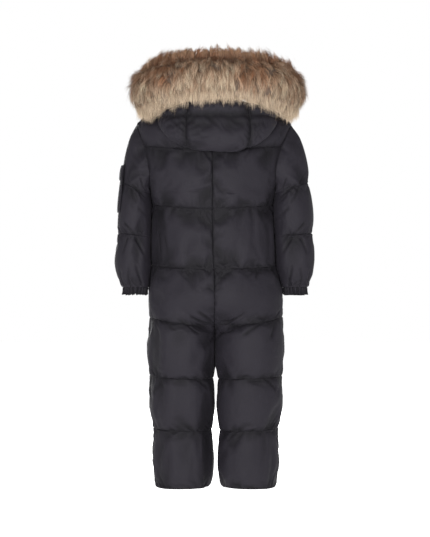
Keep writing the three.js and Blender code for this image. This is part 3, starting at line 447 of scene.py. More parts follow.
def body_surface(side, face, place, level):
    """A point on the puffed body. Side is 1 for the wearer's left and face is 1 for the back.
    Place is 0 at the side seam and 1 at the centre."""
    torso, leg = torso_at(level), leg_at(level)
    legs = crotch_share(level, place)
    turn = np.pi / 2 * place
    torso_deep = np.where(np.asarray(face) > 0, torso["back"], torso["front"])
    leg_deep = np.where(np.asarray(face) > 0, leg["back"], leg["front"])
    leg_half = (leg["outer"] - leg["inner"]) / 2
    torso_x = torso["half"] * rounded_power(np.cos(turn), torso["bend"])
    torso_y = torso_deep * rounded_power(np.sin(turn), torso["bend"])
    leg_x = leg["inner"] + leg_half * (1 + rounded_power(np.cos(2 * turn), LEG_BEND))
    leg_y = leg_deep * rounded_power(np.sin(2 * turn), LEG_BEND)
    return points_of(
        side * lerp(torso_x, leg_x, legs) + torso["shift"],
        face * lerp(torso_y, leg_y, legs),
        level - neck_dip(face, level) * np.sin(turn) ** 2,
    )


def body_crown(side, face, across, level):
    """A point on the puffed body at a place across a panel, which starts at the armhole beside it."""
    return body_surface(side, face, lerp(panel_start(level), 1, across), level)


def body_normal(side, face, across, level):
    step = 1e-3
    place = lerp(panel_start(level), 1, across)
    around = body_surface(side, face, place + step, level) - body_surface(side, face, place - step, level)
    up = body_surface(side, face, place, level + 1) - body_surface(side, face, place, level - 1)
    return unit(np.cross(around, up) * np.asarray(side * face)[..., None])


def wall_normal(side, face, across, level):
    """At the armhole the wall turns to meet the sleeve's, which hangs down from the armpit."""
    normal = body_normal(side, face, across, level)
    hanging = 1 - smooth_step(ARMPIT, -105, level)
    hanging = hanging * smooth_step(ARMPIT - 12, ARMPIT, level)
    share = (hanging * (1 - smooth_step(0, 0.2, across)))[..., None]
    return unit(lerp(normal, np.array([0, 0, -1.0]), share))


def body_fullness(across, level, shoulder, share):
    """How full the quilting is at a point of a body panel, from 0 on a quilting line to 1."""
    half = torso_at(level)["half"]
    centre_left = np.where(level > CROTCH_BOTTOM, lerp(0.3, 0.9, crotch_share(level)), 0.9)
    centre = beside_seam((1 - across) * half * QUARTER_FOR_SEAMS, 13, centre_left)
    side_left = np.where((level > ARMPIT) & (level < SHOULDER_TIP), 0.45, 0.8)
    side = beside_seam(across * half * QUARTER_FOR_SEAMS, 12, side_left)
    fill = pillow(np.where(shoulder, np.minimum(share, 0.42), share))
    at_edge = 0.45 * (1 - smooth_step(0, 0.22, across)) * (level < ARMPIT)
    return lerp(fill * centre * side, 0.9, at_edge)


def side_fullness(level):
    """How full the quilting is down the body's side, where the sleeve lies against it."""
    lines = np.array(QUILT_AT_SIDE)
    chamber = np.clip(np.searchsorted(-lines, -level, side="right") - 1, 0, len(lines) - 2)
    share = (level - lines[chamber + 1]) / (lines[chamber] - lines[chamber + 1])
    return body_fullness(np.zeros_like(level), level, chamber == 0, share)


def body_folds(side, face, across, level):
    wide_map = torso_at(level)["half"] * QUARTER_FOR_FOLDS
    own_rows = [row for row in BODY_FOLDS if row[:2] == (side, face)]

    def ends(fold):
        start = (fold["across"] * wide_map, fold["level"])
        return start, (fold["to_across"] * wide_map, fold["to_level"])

    return folds_at(across * wide_map, level, own_rows, BODY_FOLD_COLUMNS, ends)


def zip_opening(level):
    """How far the front panels part for the zip: from 0 below its foot to 1."""
    return smooth_step(ZIP["bottom"] - 34, ZIP["bottom"] - 14, level)


def sleeve_nest(y, level):
    """How far the body's side bulges into the sleeve that lies against it."""
    above_cuff = smooth_step(SLEEVE_LINES[-1] - 20, SLEEVE_LINES[-1], level)
    beside = above_cuff * (1 - smooth_step(ARMPIT - 6, ARMPIT, level))
    return SLEEVE_NEST["out"] * beside * np.exp(-((y / SLEEVE_NEST["half"]) ** 2))


def puckers(below, above, at, seed):
    """Short slanting puckers on both sides of the quilting lines, at distances in millimetres."""
    deep = np.zeros_like(at)
    for number, away in enumerate((below, above)):
        own = soft_noise(seed + 7 * number, at / PUCKER_VARIES["pitch"], away * 0 + 0.5)
        slant = PUCKER["slant"] * soft_noise(seed + 3, at / PUCKER_VARIES["slant"], away * 0)
        ripple = (0.5 + 0.5 * np.cos(2 * np.pi * (at / PUCKER["pitch"] + 1.1 * own + slant * away))) ** 2
        longer = soft_noise(seed + 5 + number, at / PUCKER_VARIES["reach"], away * 0 + 3)
        reach = PUCKER["reach"] * (1 + 0.5 * longer)
        deeper = soft_noise(seed + 9 + number, at / PUCKER_VARIES["deep"], away * 0 + 7)
        strength = np.clip(0.65 + 0.8 * deeper, 0.1, 1.3)
        fade = np.exp(-((away / reach) ** 2)) * smooth_step(0, 5, away)
        deep = np.maximum(deep, PUCKER["deep"] * ripple * strength * fade)
    return deep


def pinched_by(folds, small):
    """How strongly folds and puckers pinch the cloth, from 0 to 1, for the painted shade in them."""
    return np.clip(np.maximum(folds / 2.3, small / 3.2), 0, 1)


# Painted shade along a seam, strongest on it and fading within the reach beside it.
def seam_shade(distance, reach=SEAM_SHADE_REACH):
    return FOLD_SHADE * np.exp(-((distance / reach) ** 2))


def body_rows():
    """Every row of points down a body panel: its chamber, and how far down the chamber it lies."""
    top, first, second = QUILT_AT_SIDE[:3]
    first_turn = math.acos(2 * (first - ARMPIT) / (SHOULDER_TIP - ARMPIT) - 1)
    beside = armhole_level(np.linspace(0, first_turn, ARMHOLE_ROWS_ABOVE)[:-1])
    shoulder = np.linspace(top, SHOULDER_TIP, SHOULDER_ROWS + 1)[:-1]
    under = armhole_level(np.linspace(first_turn, np.pi, ARMHOLE_ROWS_BELOW)[:-1])
    below_armpit = np.linspace(ARMPIT, second, BELOW_ARMPIT_ROWS + 1)[:-1]
    levels = [np.concatenate([shoulder, beside]), np.concatenate([under, below_armpit])]
    rows = []
    for chamber in range(len(QUILT_AT_SIDE) - 1):
        high, low = QUILT_AT_SIDE[chamber : chamber + 2]
        if chamber < 2:
            beside_line = np.array([1.1, 2.4]) / (high - low)
            downs = (high - levels[chamber]) / (high - low)
            downs = np.sort(np.concatenate([downs, beside_line, 1 - beside_line]))
            downs = downs[np.concatenate([[True], np.diff(downs) * (high - low) > LEAST_ROW])]
        else:
            downs = close_at_ends(CHAMBER_ROWS)[:-1]
        rows += [(chamber, down) for down in downs]
    rows.append((len(QUILT_AT_SIDE) - 2, 1.0))
    return np.array(rows)


def body_panel_points(side, face, inner):
    """A body panel's points, their place across and level, and how far the cloth is pinched there."""
    rows = body_rows()
    chamber = rows[:, 0].astype(int)[:, None]
    down = rows[:, 1][:, None]
    across = close_at_ends(BODY_COLUMNS)[None, :]
    at_side, at_centre = np.array(QUILT_AT_SIDE), np.array(QUILT_AT_CENTRE)
    curve = smooth_step(0, 1, across)
    high = lerp(at_side[chamber], at_centre[chamber], curve)
    low = lerp(at_side[chamber + 1], at_centre[chamber + 1], curve)
    level = lerp(high, low, down)
    across = np.broadcast_to(across, level.shape)
    shoulder = np.broadcast_to(chamber == 0, level.shape)
    points = body_crown(side, face, across, level)
    normal = wall_normal(side, face, across, level)
    full = body_fullness(across, level, shoulder, 1 - down)
    pinched = np.zeros_like(level)
    if inner:
        outward = -WALL_AT_CROWN + LINING_PUFF * (1 - full)
    else:
        tall = high - low
        at = LEG_HALF_ROUND * across + 90 * chamber
        small = puckers(down * tall, (1 - down) * tall, at, 60 + 2 * side + face)
        small = small * smooth_step(0, 0.04, across) * (1 - smooth_step(0.96, 1, across))
        folds = body_folds(side, face, across, level)
        pinched = pinched_by(folds, small)
        outward = np.maximum(PUFF * (full - 1) - folds - small, -PUFF - 0.4)
        outward = outward - stitch_line(np.minimum(down, 1 - down) * tall)
    points += normal * outward[..., None]
    join_panels(points, side, face, inner, across, level)
    return points, across, level, pinched


def join_panels(points, side, face, inner, across, level):
    """Moves a body panel's points to meet what lies beside it: the other leg, the slanted centre seam,
    the sleeve, the zip and the side seam."""
    keep_off = WALL_AT_QUILTING if inner else 0.05
    closed = 0 if inner else smooth_step(0.84, 1, across) * smooth_step(LEGS_TOUCH - 16, LEGS_TOUCH, level)
    beside = lerp(np.maximum(side * points[..., 0], keep_off), keep_off, closed)
    points[..., 0] = np.where(level < CROTCH_TOP, side * beside, points[..., 0])
    parting = smooth_step(0.6, 1, across) * (1 - smooth_step(CROTCH_TOP, CROTCH_TOP + 30, level))
    points[..., 0] += SEAM_SLANT["aside"] * parting * np.clip(points[..., 1] / SEAM_SLANT["deep"], -1, 1)
    points[..., 0] += side * sleeve_nest(points[..., 1], level) * (1 - smooth_step(0.25, 0.4, across))
    zip_gap = 0
    if face < 0:
        zip_gap = (ZIP["half"] + ZIP["clear"]) * zip_opening(level) * across**3
    points[..., 0] += side * (SEAM_GAP / 2 + zip_gap)
    points[..., 1] += face * SIDE_SEAM_HALF_GAP


# The sleeves' surface


def armhole_point(side, turn):
    face = np.where(np.sin(turn) >= 0, 1, -1)
    return body_crown(side, face, np.zeros_like(turn), armhole_level(turn))


def armhole_normal(side, turn):
    face = np.where(np.sin(turn) >= 0, 1, -1)
    return wall_normal(side, face, np.zeros_like(turn), armhole_level(turn))


def sleeve_ring(side, turn, level):
    """A level ring of the sleeve below the cap. Its inner edge stays just clear of the body."""
    ring = sleeve_at(level)
    torso = torso_at(level + ring["tilt"] * np.cos(turn))
    inner = torso["half"] + side * torso["shift"] + SLEEVE_CLEAR
    half = (ring["outer"] + side * SLEEVE_SHIFT - inner) / 2
    deep = np.where(np.sin(turn) >= 0, ring["back"], ring["front"])
    return points_of(
        side * (inner + half + half * rounded_power(np.cos(turn), SLEEVE_BEND)),
        deep * rounded_power(np.sin(turn), SLEEVE_BEND),
        level + ring["tilt"] * np.cos(turn),
    )


def sleeve_crown(side, turn, along):
    """A point on the puffed sleeve. Along 0 is the armhole, 1 and 2 are quilting lines, 3 the cuff."""
    turn, along = np.broadcast_arrays(np.asarray(turn, float), np.asarray(along, float))
    lines = np.array(SLEEVE_LINES)
    line = np.clip(np.floor(along).astype(int) - 1, 0, len(lines) - 2)
    below = sleeve_ring(side, turn, lerp(lines[line], lines[line + 1], along - 1 - line))
    start = armhole_point(side, turn)
    end = sleeve_ring(side, turn, np.full_like(turn, SLEEVE_LINES[0]))
    pull = np.linalg.norm(end - start, axis=-1, keepdims=True)
    leave = np.array([side * 0.52, 0, -0.85]) * pull * 0.9
    arrive = np.array([side * 0.1, 0, -1]) * pull * 0.95
    share = np.clip(along, 0, 1)[..., None]
    squared, cubed = share**2, share**3
    cap = start * (2 * cubed - 3 * squared + 1) + end * (3 * squared - 2 * cubed)
    cap += leave * (cubed - 2 * squared + share) + arrive * (cubed - squared)
    return np.where((along >= 1)[..., None], below, cap)


def sleeve_normal(side, turn, along):
    step = 0.01
    around = sleeve_crown(side, turn + step, along) - sleeve_crown(side, turn - step, along)
    low = np.minimum(along + step, len(SLEEVE_LINES))
    down = sleeve_crown(side, turn, low) - sleeve_crown(side, turn, np.maximum(along - step, 0))
    own = unit(np.cross(down, around) * side)
    share = smooth_step(0, 0.4, along)[..., None]
    return unit(lerp(armhole_normal(side, turn), own, share))


def sleeve_folds(turn, along):
    around, length = SLEEVE_MAP["around"], SLEEVE_MAP["along"]

    def ends(fold):
        start = (math.radians(fold["turn"]) * around, fold["along"] * length)
        return start, (math.radians(fold["to_turn"]) * around, fold["to_along"] * length)

    return folds_at(turn * around, along * length, SLEEVE_FOLDS, SLEEVE_FOLD_COLUMNS, ends)


def sleeve_points(side, inner):
    """A sleeve's points, their turn and place along it, and how far the cloth is pinched there."""
    cap = np.linspace(0, 1, SLEEVE_CAP_ROWS + 1)[:-1]
    chambers = [chamber + close_at_ends(SLEEVE_CHAMBER_ROWS)[:-1] for chamber in (1, 2)]
    along = np.concatenate([cap, *chambers, [3.0]])[:, None]
    turn = np.linspace(0, 2 * np.pi, SLEEVE_AROUND + 1)[None, :]
    turn, along = np.broadcast_arrays(turn, along)
    chamber = np.minimum(np.floor(along), 2)
    share = 1 - (along - chamber)
    points = sleeve_crown(side, turn, along)
    level = points[..., 2]
    puff = PUFF * np.where(along > 1, sleeve_at(level)["puff"], 1)
    first_line = sleeve_ring(side, turn, np.full_like(turn, SLEEVE_LINES[0]))
    reach = np.linalg.norm(armhole_point(side, turn) - first_line, axis=-1)
    room = np.clip(reach / 60, 0.1, 1)
    seam_full = side_fullness(armhole_level(turn))
    cap_full = lerp(seam_full, room * pillow(np.minimum(share, 0.45)), smooth_step(0, 0.25, along))
    full = np.where(chamber == 0, cap_full, pillow(share))
    outside = smooth_step(0.3, 1, np.cos(turn)) * smooth_step(0.3, 0.8, along)
    full = lerp(full, 0.95, 0.5 * outside)
    folds = sleeve_folds(turn, along) * smooth_step(0, 0.3, along)
    tall = np.where(along < 1, reach, SLEEVE_MAP["tall"])
    small = puckers((1 - share) * tall, share * tall, SLEEVE_MAP["around"] * turn + 70 * chamber, 80 + side)
    small = small * smooth_step(0.1, 0.4, along)
    small = small * smooth_step(0, 0.3, turn) * smooth_step(0, 0.3, 2 * np.pi - turn)
    skin = np.maximum(puff * (full - 1) - folds - small, -PUFF - 0.4)
    from_line = np.where((along < 0.5) | (along > 2.5), 99, np.minimum(share, 1 - share) * tall)
    skin = skin - stitch_line(from_line)
    pressed = smooth_step(0.25, 0.9, -np.cos(turn)) * smooth_step(0.05, 0.5, along)
    into_body = PUFF * (1 - side_fullness(level)) * (1 - 0.6 * np.sin(turn) ** 2)
    skin = lerp(skin, into_body, pressed)
    outward = -(WALL_AT_QUILTING + puff) if inner else skin
    points = points + sleeve_normal(side, turn, along) * outward[..., None]
    nest = sleeve_nest(points[..., 1], points[..., 2]) * smooth_step(0.5, 0.8, -np.cos(turn))
    points[..., 0] += side * nest * (0 if inner else 1)
    # Painted shade of folds and puckers, none where the sleeve is pressed against the body, and painted
    # shade beside the armhole seam.
    pinched = pinched_by(folds, small) * (1 - pressed)
    pinched = np.maximum(pinched, seam_shade(along * reach))
    off_seam = np.array([side * 0.9, 0, -0.4]) * SEAM_GAP * 2
    return points + off_seam, turn, along, pinched


def cuff_points(side, inner):
    turn = np.linspace(0, 2 * np.pi, CUFF_AROUND + 1)[None, :]
    down = np.linspace(0, 1, CUFF_ROWS + 1)[:, None]
    turn, down = np.broadcast_arrays(turn, down)
    end = np.full_like(turn, SLEEVE_LINES[-1])
    ring = sleeve_ring(side, turn, end)
    outermost = sleeve_ring(side, np.zeros_like(turn), end)
    innermost = sleeve_ring(side, np.full_like(turn, np.pi), end)
    outward = unit(ring - (outermost + innermost) / 2)
    uneven = 1 + 0.25 * np.cos(5 * turn) + 0.2 * np.cos(7 * turn)
    gathers = np.cos(CUFF["gathers"] * turn + 0.3 * np.sin(3 * turn))
    wave = gathers * CUFF["depth"] * (0.4 + 0.6 * down) * uneven
    waist = -1.2 * np.sin(np.pi * down) + CUFF["flare"] * down - 1
    out = waist - CUFF["wall"] + 0.6 * wave if inner else waist + wave
    points = ring + outward * out[..., None]
    tucked = 1 - smooth_step(0, 0.3, down)
    points -= outward * (CUFF["tuck"] * tucked)[..., None]
    lifted = 1.6 * smooth_step(0.75, 1, np.abs(np.cos(turn)))
    points[..., 2] = end + 1.2 * tucked - (CUFF["length"] - lifted + 0.9 * wave) * down
    beside = (1 - np.cos(turn)) / 2
    points[..., 0] += side * (SEAM_GAP * 1.5 + beside * (1.2 + 1.6 * down))
    return points


def patch_points(patch, inner):
    """A patch over the wearer's left sleeve, moved out from the sleeve's own surface."""
    share = np.linspace(0, 1, patch["columns"] + 1)[None, :]
    down = np.linspace(0, 1, patch["rows"] + 1)[:, None]
    share, down = np.broadcast_arrays(share, down)
    turn = np.radians(lerp(patch["from"], patch["to"], share))
    level = lerp(patch["top"], patch["bottom"], down)
    low, high = np.zeros_like(turn), np.full_like(turn, 2.0)
    for _ in range(24):
        middle = (low + high) / 2
        above = sleeve_crown(1, turn, middle)[..., 2] > level
        low, high = np.where(above, middle, low), np.where(above, high, middle)
    rounded = np.sin(np.pi * share) ** 0.35 * np.sin(np.pi * down) ** 0.35
    thick = patch["thick"] * (0 if inner else np.maximum(rounded, 0.45))
    lift = patch["lift"] + thick + 0 * low
    points = sleeve_crown(1, turn, low) + sleeve_normal(1, turn, low) * lift[..., None]
    points[..., 0] += SEAM_GAP * 1.5
    return points


# The collar, the zip and the hood


def neckline(turn):
    face = np.where(np.sin(turn) >= 0, 1, -1)
    side = np.where(np.cos(turn) >= 0, 1, -1)
    across = np.abs(np.arcsin(np.clip(np.sin(turn), -1, 1))) / (np.pi / 2)
    return body_crown(side, face, across, np.full_like(across, TORSO_ROWS[0][0]))


def collar_surface(turn, up, inner):
    seam = neckline(turn)
    centre = np.array([float(torso_at(TORSO_ROWS[0][0])["shift"]), 0, 0])
    outward = seam - centre
    outward[..., 2] = 0
    outward = unit(outward)
    bulge = 2.5 * pillow(1 - up) - COLLAR["lean"] * up - 1
    inside = -COLLAR["inside"] - COLLAR["lean"] * up
    points = seam + outward * (inside if inner else bulge)[..., None]
    points[..., 2] += SEAM_GAP + COLLAR["height"] * up
    return points


def collar_points(inner):
    opening = math.asin((ZIP["half"] + ZIP["clear"]) / TORSO_ROWS[0][1])
    turn = np.linspace(-np.pi / 2 + opening, 3 * np.pi / 2 - opening, COLLAR["columns"] + 1)[None, :]
    up = np.linspace(0, 1, COLLAR["rows"] + 1)[:, None]
    turn, up = np.broadcast_arrays(turn, up)
    return collar_surface(turn, up, inner)


def zip_line():
    """The middle of the front, from the foot of the zip up over the collar, with its outward way."""
    level = np.linspace(ZIP["bottom"] - 31, TORSO_ROWS[0][0] - 1.5, ZIP["rows"] + 1)
    normal = body_normal(1, -1, np.ones_like(level), level)
    body = body_crown(1, -1, np.ones_like(level), level) - normal * PUFF * 0.75
    up = np.linspace(0.1, 1, 12)
    collar = collar_surface(np.full_like(up, -np.pi / 2), up, False)
    forward = np.tile([0, -1.0, 0], (len(up), 1))
    return np.concatenate([body, collar]), np.concatenate([normal, forward])


def body_ratio(points):
    """How many times wider than the body's section a point lies, where 1 is on its surface."""
    x, y, z = np.moveaxis(points, -1, 0)
    level = z
    for _ in range(4):
        torso = torso_at(level)
        across = np.abs(x - torso["shift"]) / torso["half"]
        deep = np.abs(y) / np.where(y > 0, torso["back"], torso["front"])
        ratio = (across ** torso["bend"] + deep ** torso["bend"]) ** (1 / torso["bend"])
        level = z + neck_dip(y, level) * (deep / ratio) ** torso["bend"]
    return ratio


def rest_on_body(points, gap):
    """Moves points out of the body until they lie a gap off its surface."""
    points = points.copy()
    for _ in range(8):
        ahead = [body_ratio(points + step) - body_ratio(points - step) for step in np.eye(3) * 0.5]
        slope = np.stack(ahead, axis=-1)
        steep = np.maximum(np.linalg.norm(slope, axis=-1), 1e-4)
        short = gap - (body_ratio(points) - 1) / steep
        move = np.clip(short, 0, 12) / steep
        points += slope * move[..., None]
    return points


def fur_frame(run):
    side = np.where(run < 0, -1, 1)
    row = fur_at(np.abs(run))
    return points_of(side * row["out"] + FUR_SHIFT, row["back"], row["up"]), row["wide"], row["high"]


def fur_outward(run):
    ahead = fur_frame(run + 0.05)[0] - fur_frame(run - 0.05)[0]
    ahead[..., 2] = 0
    ahead = unit(ahead)
    return points_of(-ahead[..., 1], ahead[..., 0], 0)


def clear_of_fur(points, run, gap):
    centre, wide, high = fur_frame(run)
    outward = fur_outward(run)
    away = points - centre
    across, up = np.sum(away * outward, axis=-1), away[..., 2]
    ratio = np.hypot(across / (wide + gap), up / (high + gap))
    push = np.where(ratio < 1, 1 / np.maximum(ratio, 1e-6) - 1, 0)
    moved = points + outward * (across * push)[..., None]
    moved[..., 2] = points[..., 2] + up * push
    return moved


def hood_middle(run, along):
    """The middle of the hood's wall: from the neck seam at 0, down round the pouch, to the edge at 1."""
    side = np.where(run < 0, -1, 1)
    row = hood_at(np.abs(run))
    turn = np.where(side > 0, np.radians(row["turn"]), np.pi - np.radians(row["turn"]))
    away = points_of(np.cos(turn), np.sin(turn), 0)
    neck = neckline(turn) + away * HOOD["from_collar"]
    neck[..., 2] += HOOD["above_seam"]
    edge, _, high = fur_frame(run)
    edge[..., 2] -= high + row["gap"]
    from_neck = edge - neck
    from_neck[..., 2] = 0
    from_neck = unit(from_neck)
    pull_neck = neck + from_neck * row["neck_swell"][..., None]
    pull_edge = edge + from_neck * row["edge_swell"][..., None]
    pull_neck[..., 2] -= row["neck_drop"]
    pull_edge[..., 2] -= row["edge_drop"]
    pull_neck[..., 0] += side * row["spread"]
    pull_edge[..., 0] += side * row["spread"]
    share = along[..., None]
    left = 1 - share
    middle = neck * left**3 + pull_neck * 3 * left**2 * share
    middle += pull_edge * 3 * left * share**2 + edge * share**3
    cloth = hood_wall_at(np.abs(run))
    thick = cloth["wall"] / 2 + cloth["swell"]
    off = lerp(thick + 4, row["gap"], smooth_step(0.85, 1, along))
    for _ in range(4):
        middle = clear_of_fur(middle, run, off)
        middle = rest_on_body(middle, thick + 1.8)
    return middle


def hood_panel_edge(along):
    """The run of the seams beside the hood's centre panel, which lean out a little towards the fur."""
    return lerp(HOOD_PANEL_EDGE["at_foot"], HOOD_PANEL_EDGE["at_fur"], smooth_step(0.5, 1, along))


def hood_surfaces():
    """The hood's middle, its outward way, how full it is, and the columns of its panels' edges."""
    above = np.linspace(0, HOOD_SEAM, HOOD_AROUND + 1)[:-1]
    along = np.concatenate([above, np.linspace(HOOD_SEAM, 1, HOOD_BAND_ROWS + 1)])
    along = along[:, None]
    edge = hood_panel_edge(along)
    side_run = lerp(edge, HOOD_END, np.linspace(0, 1, HOOD_SIDE_COLUMNS + 1)[None, :])
    middle_run = edge * np.linspace(-1, 1, HOOD_CENTRE_COLUMNS + 1)[None, :]
    run = np.concatenate([-side_run[:, ::-1], middle_run[:, 1:-1], side_run], axis=1)
    run, along = np.broadcast_arrays(run, along)
    middle = hood_middle(run, along)
    around = unit(np.gradient(middle, axis=1))
    down = unit(np.gradient(middle, axis=0))
    normal = -unit(np.cross(around, down))
    above_seam = pillow(along / HOOD_SEAM)
    below_seam = pillow((along - HOOD_SEAM) / (1 - HOOD_SEAM))
    fill = np.where(along < HOOD_SEAM, above_seam, below_seam)
    edges = (HOOD_SIDE_COLUMNS, HOOD_SIDE_COLUMNS + HOOD_CENTRE_COLUMNS)
    return run, along, middle, normal, around, fill, edges


# Making pieces


def link_object(name, data):
    made = bpy.data.objects.new(name, data)
    bpy.context.scene.collection.objects.link(made)
    return made


def lengths_of(points):
    """How far along the cloth each column and each row of a grid lies from its first one."""
    across = np.linalg.norm(np.diff(points, axis=1), axis=-1).mean(axis=0)
    down = np.linalg.norm(np.diff(points, axis=0), axis=-1).mean(axis=1)
    return np.concatenate([[0], np.cumsum(across)]), np.concatenate([[0], np.cumsum(down)])


def add_cloth_grid(bm, points, painted_shade=None):
    """Adds a grid of cloth through rows of points. Its UV map is in metres of cloth, and an attribute
    holds the painted shade at each point, which is strongest deep in a fold or seam."""
    rows, columns = points.shape[:2]
    depth = bm.verts.layers.float.get("painted_shade") or bm.verts.layers.float.new("painted_shade")
    uv = bm.loops.layers.uv.verify()
    u, v = (length * MM for length in lengths_of(points))
    first = len(bm.verts)
    made = bmesh.ops.create_grid(bm, x_segments=columns - 1, y_segments=rows - 1, size=0.5)["verts"]
    bm.verts.index_update()
    flat = points.reshape(-1, 3) * MM
    deep = np.zeros(len(flat)) if painted_shade is None else painted_shade.ravel()
    for vert in made:
        vert.co = flat[vert.index - first]
        vert[depth] = deep[vert.index - first]
    faces = list({face for vert in made for face in vert.link_faces})
    for face in faces:
        for loop in face.loops:
            row, column = divmod(loop.vert.index - first, columns)
            loop[uv].uv = (u[column], -v[row])
    return made


def painted_shade_from_depth(skin, crown):
    """How deep a skin lies below its fullest form, from 0 to 1 at the depth of a quilting line, softened
    with its neighbours, as painted shade.
    """
    outward = grid_normals(crown)
    below = np.sum((crown - skin) * outward, axis=-1)
    if below.mean() < 0:
        below = -below
    painted_shade = np.clip((below - 0.8) / PUFF, 0, 1)
    padded = np.pad(painted_shade, 1, mode="edge")
    near = (padded[:-2, 1:-1] + padded[2:, 1:-1] + padded[1:-1, :-2] + padded[1:-1, 2:]) / 4
    return (painted_shade + near) / 2


def grid_normals(points):
    """The outward way at each point of a grid whose rows run down and whose columns run round."""
    return unit(np.cross(np.gradient(points, axis=0), np.gradient(points, axis=1)))


def held_at_seams(points, lines=(), tube=False):
    """Marks with 1 the points that seams and quilting lines keep still."""
    held = np.zeros(points.shape[:2])
    held[[0, *lines, -1]] = 1
    if not tube:
        held[:, 0] = held[:, -1] = 1
    return held


def crumpled(points, held, most, seed, tube=False):
    """Lets a skin of cloth crumple between its seams, as cloth cut a little larger than its lining
    does. Held is 1 where a seam or a quilting line keeps a point, and most is how far the others
    may move, in millimetres."""
    rows, columns = points.shape[:2]
    u, v = (length / LUMP["apart"] for length in lengths_of(points))
    uneven = soft_noise(seed, u[None, :], v[:, None]) * LUMP["high"] * (1 - held)
    if tube:
        uneven[:, -1] = uneven[:, 0]
    start = points + grid_normals(points) * uneven[..., None]
    flat = start.reshape(-1, 3) * MM
    bm = bmesh.new()
    number = bm.verts.layers.int.new("number")
    made = bmesh.ops.create_grid(bm, x_segments=columns - 1, y_segments=rows - 1, size=0.5)["verts"]
    bm.verts.index_update()
    for vert in made:
        vert.co = flat[vert.index]
        vert[number] = vert.index
    if tube:
        bmesh.ops.remove_doubles(bm, verts=made, dist=1e-6)
    mesh = bpy.data.meshes.new("crumpling")
    bm.to_mesh(mesh)
    bm.free()
    kept = np.empty(len(mesh.vertices), int)
    mesh.attributes["number"].data.foreach_get("value", kept)
    skin = link_object("crumpling", mesh)
    group = skin.vertex_groups.new(name="held")
    group.add(np.flatnonzero(held.ravel()[kept] > 0).tolist(), 1.0, "REPLACE")
    cloth = skin.modifiers.new("cloth", "CLOTH")
    cloth.collision_settings.use_collision = False
    cloth.point_cache.frame_end = CRUMPLE_STEPS
    settings = cloth.settings
    settings.vertex_group_mass = "held"
    settings.quality = 5
    settings.mass = 0.1
    settings.air_damping = 2
    settings.bending_stiffness = CLOTH_BEND
    settings.shrink_min = -SPARE_CLOTH
    settings.use_pressure = True
    settings.uniform_pressure_force = DOWN_PRESSURE
    settings.effector_weights.gravity = 0
    scene = bpy.context.scene
    for step in range(1, CRUMPLE_STEPS + 1):
        scene.frame_set(step)
    after = skin.evaluated_get(bpy.context.evaluated_depsgraph_get()).data
    places = np.empty(len(after.vertices) * 3)
    after.vertices.foreach_get("co", places)
    bpy.data.objects.remove(skin)
    scene.frame_set(1)
    found = flat.copy()
    found[kept] = places.reshape(-1, 3)
    found = found.reshape(rows, columns, 3) / MM
    if tube:
        found[:, -1] = found[:, 0]
    move = (found - points) * (1 - held)[..., None]
    far = np.maximum(np.linalg.norm(move, axis=-1), 1e-6)
    limit = most * np.tanh(far / most) / far
    return points + move * limit[..., None]


def object_from(bm, name, material, smooth=True):
    mesh = bpy.data.meshes.new(name)
    bm.to_mesh(mesh)
    bm.free()
    mesh.materials.append(material)
    mesh.polygons.foreach_set("use_smooth", [smooth] * len(mesh.polygons))
    return link_object(name, mesh)


def quilted_wall(name, outer, inner, material, tube=False, painted_shade=None):
    """A closed wall of cloth between its outer and inner points. The lining may be a coarser grid."""
    bm = bmesh.new()
    skin = add_cloth_grid(bm, outer, painted_shade)
    # The lining is darkened all over with painted shade.
    lining = add_cloth_grid(bm, inner, np.full(inner.shape[:2], LINING_SHADE))
    if tube:
        bmesh.ops.remove_doubles(bm, verts=skin, dist=1e-6)
        lining = [vert for vert in lining if vert.is_valid]
        bmesh.ops.remove_doubles(bm, verts=lining, dist=1e-6)
    edges = [edge for edge in bm.edges if edge.is_boundary]
    if tube:
        middle = sum(vert.co.z for edge in edges for vert in edge.verts) / (2 * len(edges))
        high = [edge for edge in edges if edge.verts[0].co.z > middle]
        low = [edge for edge in edges if edge.verts[0].co.z <= middle]
        bmesh.ops.bridge_loops(bm, edges=high)
        bmesh.ops.bridge_loops(bm, edges=low)
    else:
        bmesh.ops.bridge_loops(bm, edges=edges)
    bmesh.ops.recalc_face_normals(bm, faces=bm.faces)
    return object_from(bm, name, material)


# Materials


# The scale at which a wave texture has one wave in a unit of its space.
WAVES_PER_UNIT = 1 / 20 * 2 * math.pi


def new_material(name):
    material = bpy.data.materials.new(name)
    material.use_nodes = True
    tree = material.node_tree
    shader = next(node for node in tree.nodes if node.type == "BSDF_PRINCIPLED")
    return material, tree, shader


def object_noise(tree, scale, detail=2.0):
    """Noise through an object's own space, as a mask from 0 to 1."""
    place = tree.nodes.new("ShaderNodeTexCoord")
    noise = tree.nodes.new("ShaderNodeTexNoise")
    noise.inputs["Scale"].default_value = scale
    noise.inputs["Detail"].default_value = detail
    tree.links.new(place.outputs["Object"], noise.inputs["Vector"])
    return noise


def colour_mix(tree, share, first, second):
    """Mixes two colours by a mask. The first is a colour, or a socket that gives one."""
    mix = tree.nodes.new("ShaderNodeMix")
    mix.data_type = "RGBA"
    if isinstance(first, tuple):
        mix.inputs["A"].default_value = (*first, 1)
    else:
        tree.links.new(first, mix.inputs["A"])
    mix.inputs["B"].default_value = (*second, 1)
    tree.links.new(share, mix.inputs["Factor"])
    return mix.outputs["Result"]


def attribute_node(tree, name):
    node = tree.nodes.new("ShaderNodeAttribute")
    node.attribute_name = name
    return node


def add_bump(tree, height, strength, distance, normal=None):
    bump = tree.nodes.new("ShaderNodeBump")
    bump.inputs["Strength"].default_value = strength
    bump.inputs["Distance"].default_value = distance
    tree.links.new(height, bump.inputs["Height"])
    if normal is not None:
        tree.links.new(normal, bump.inputs["Normal"])
    return bump.outputs["Normal"]


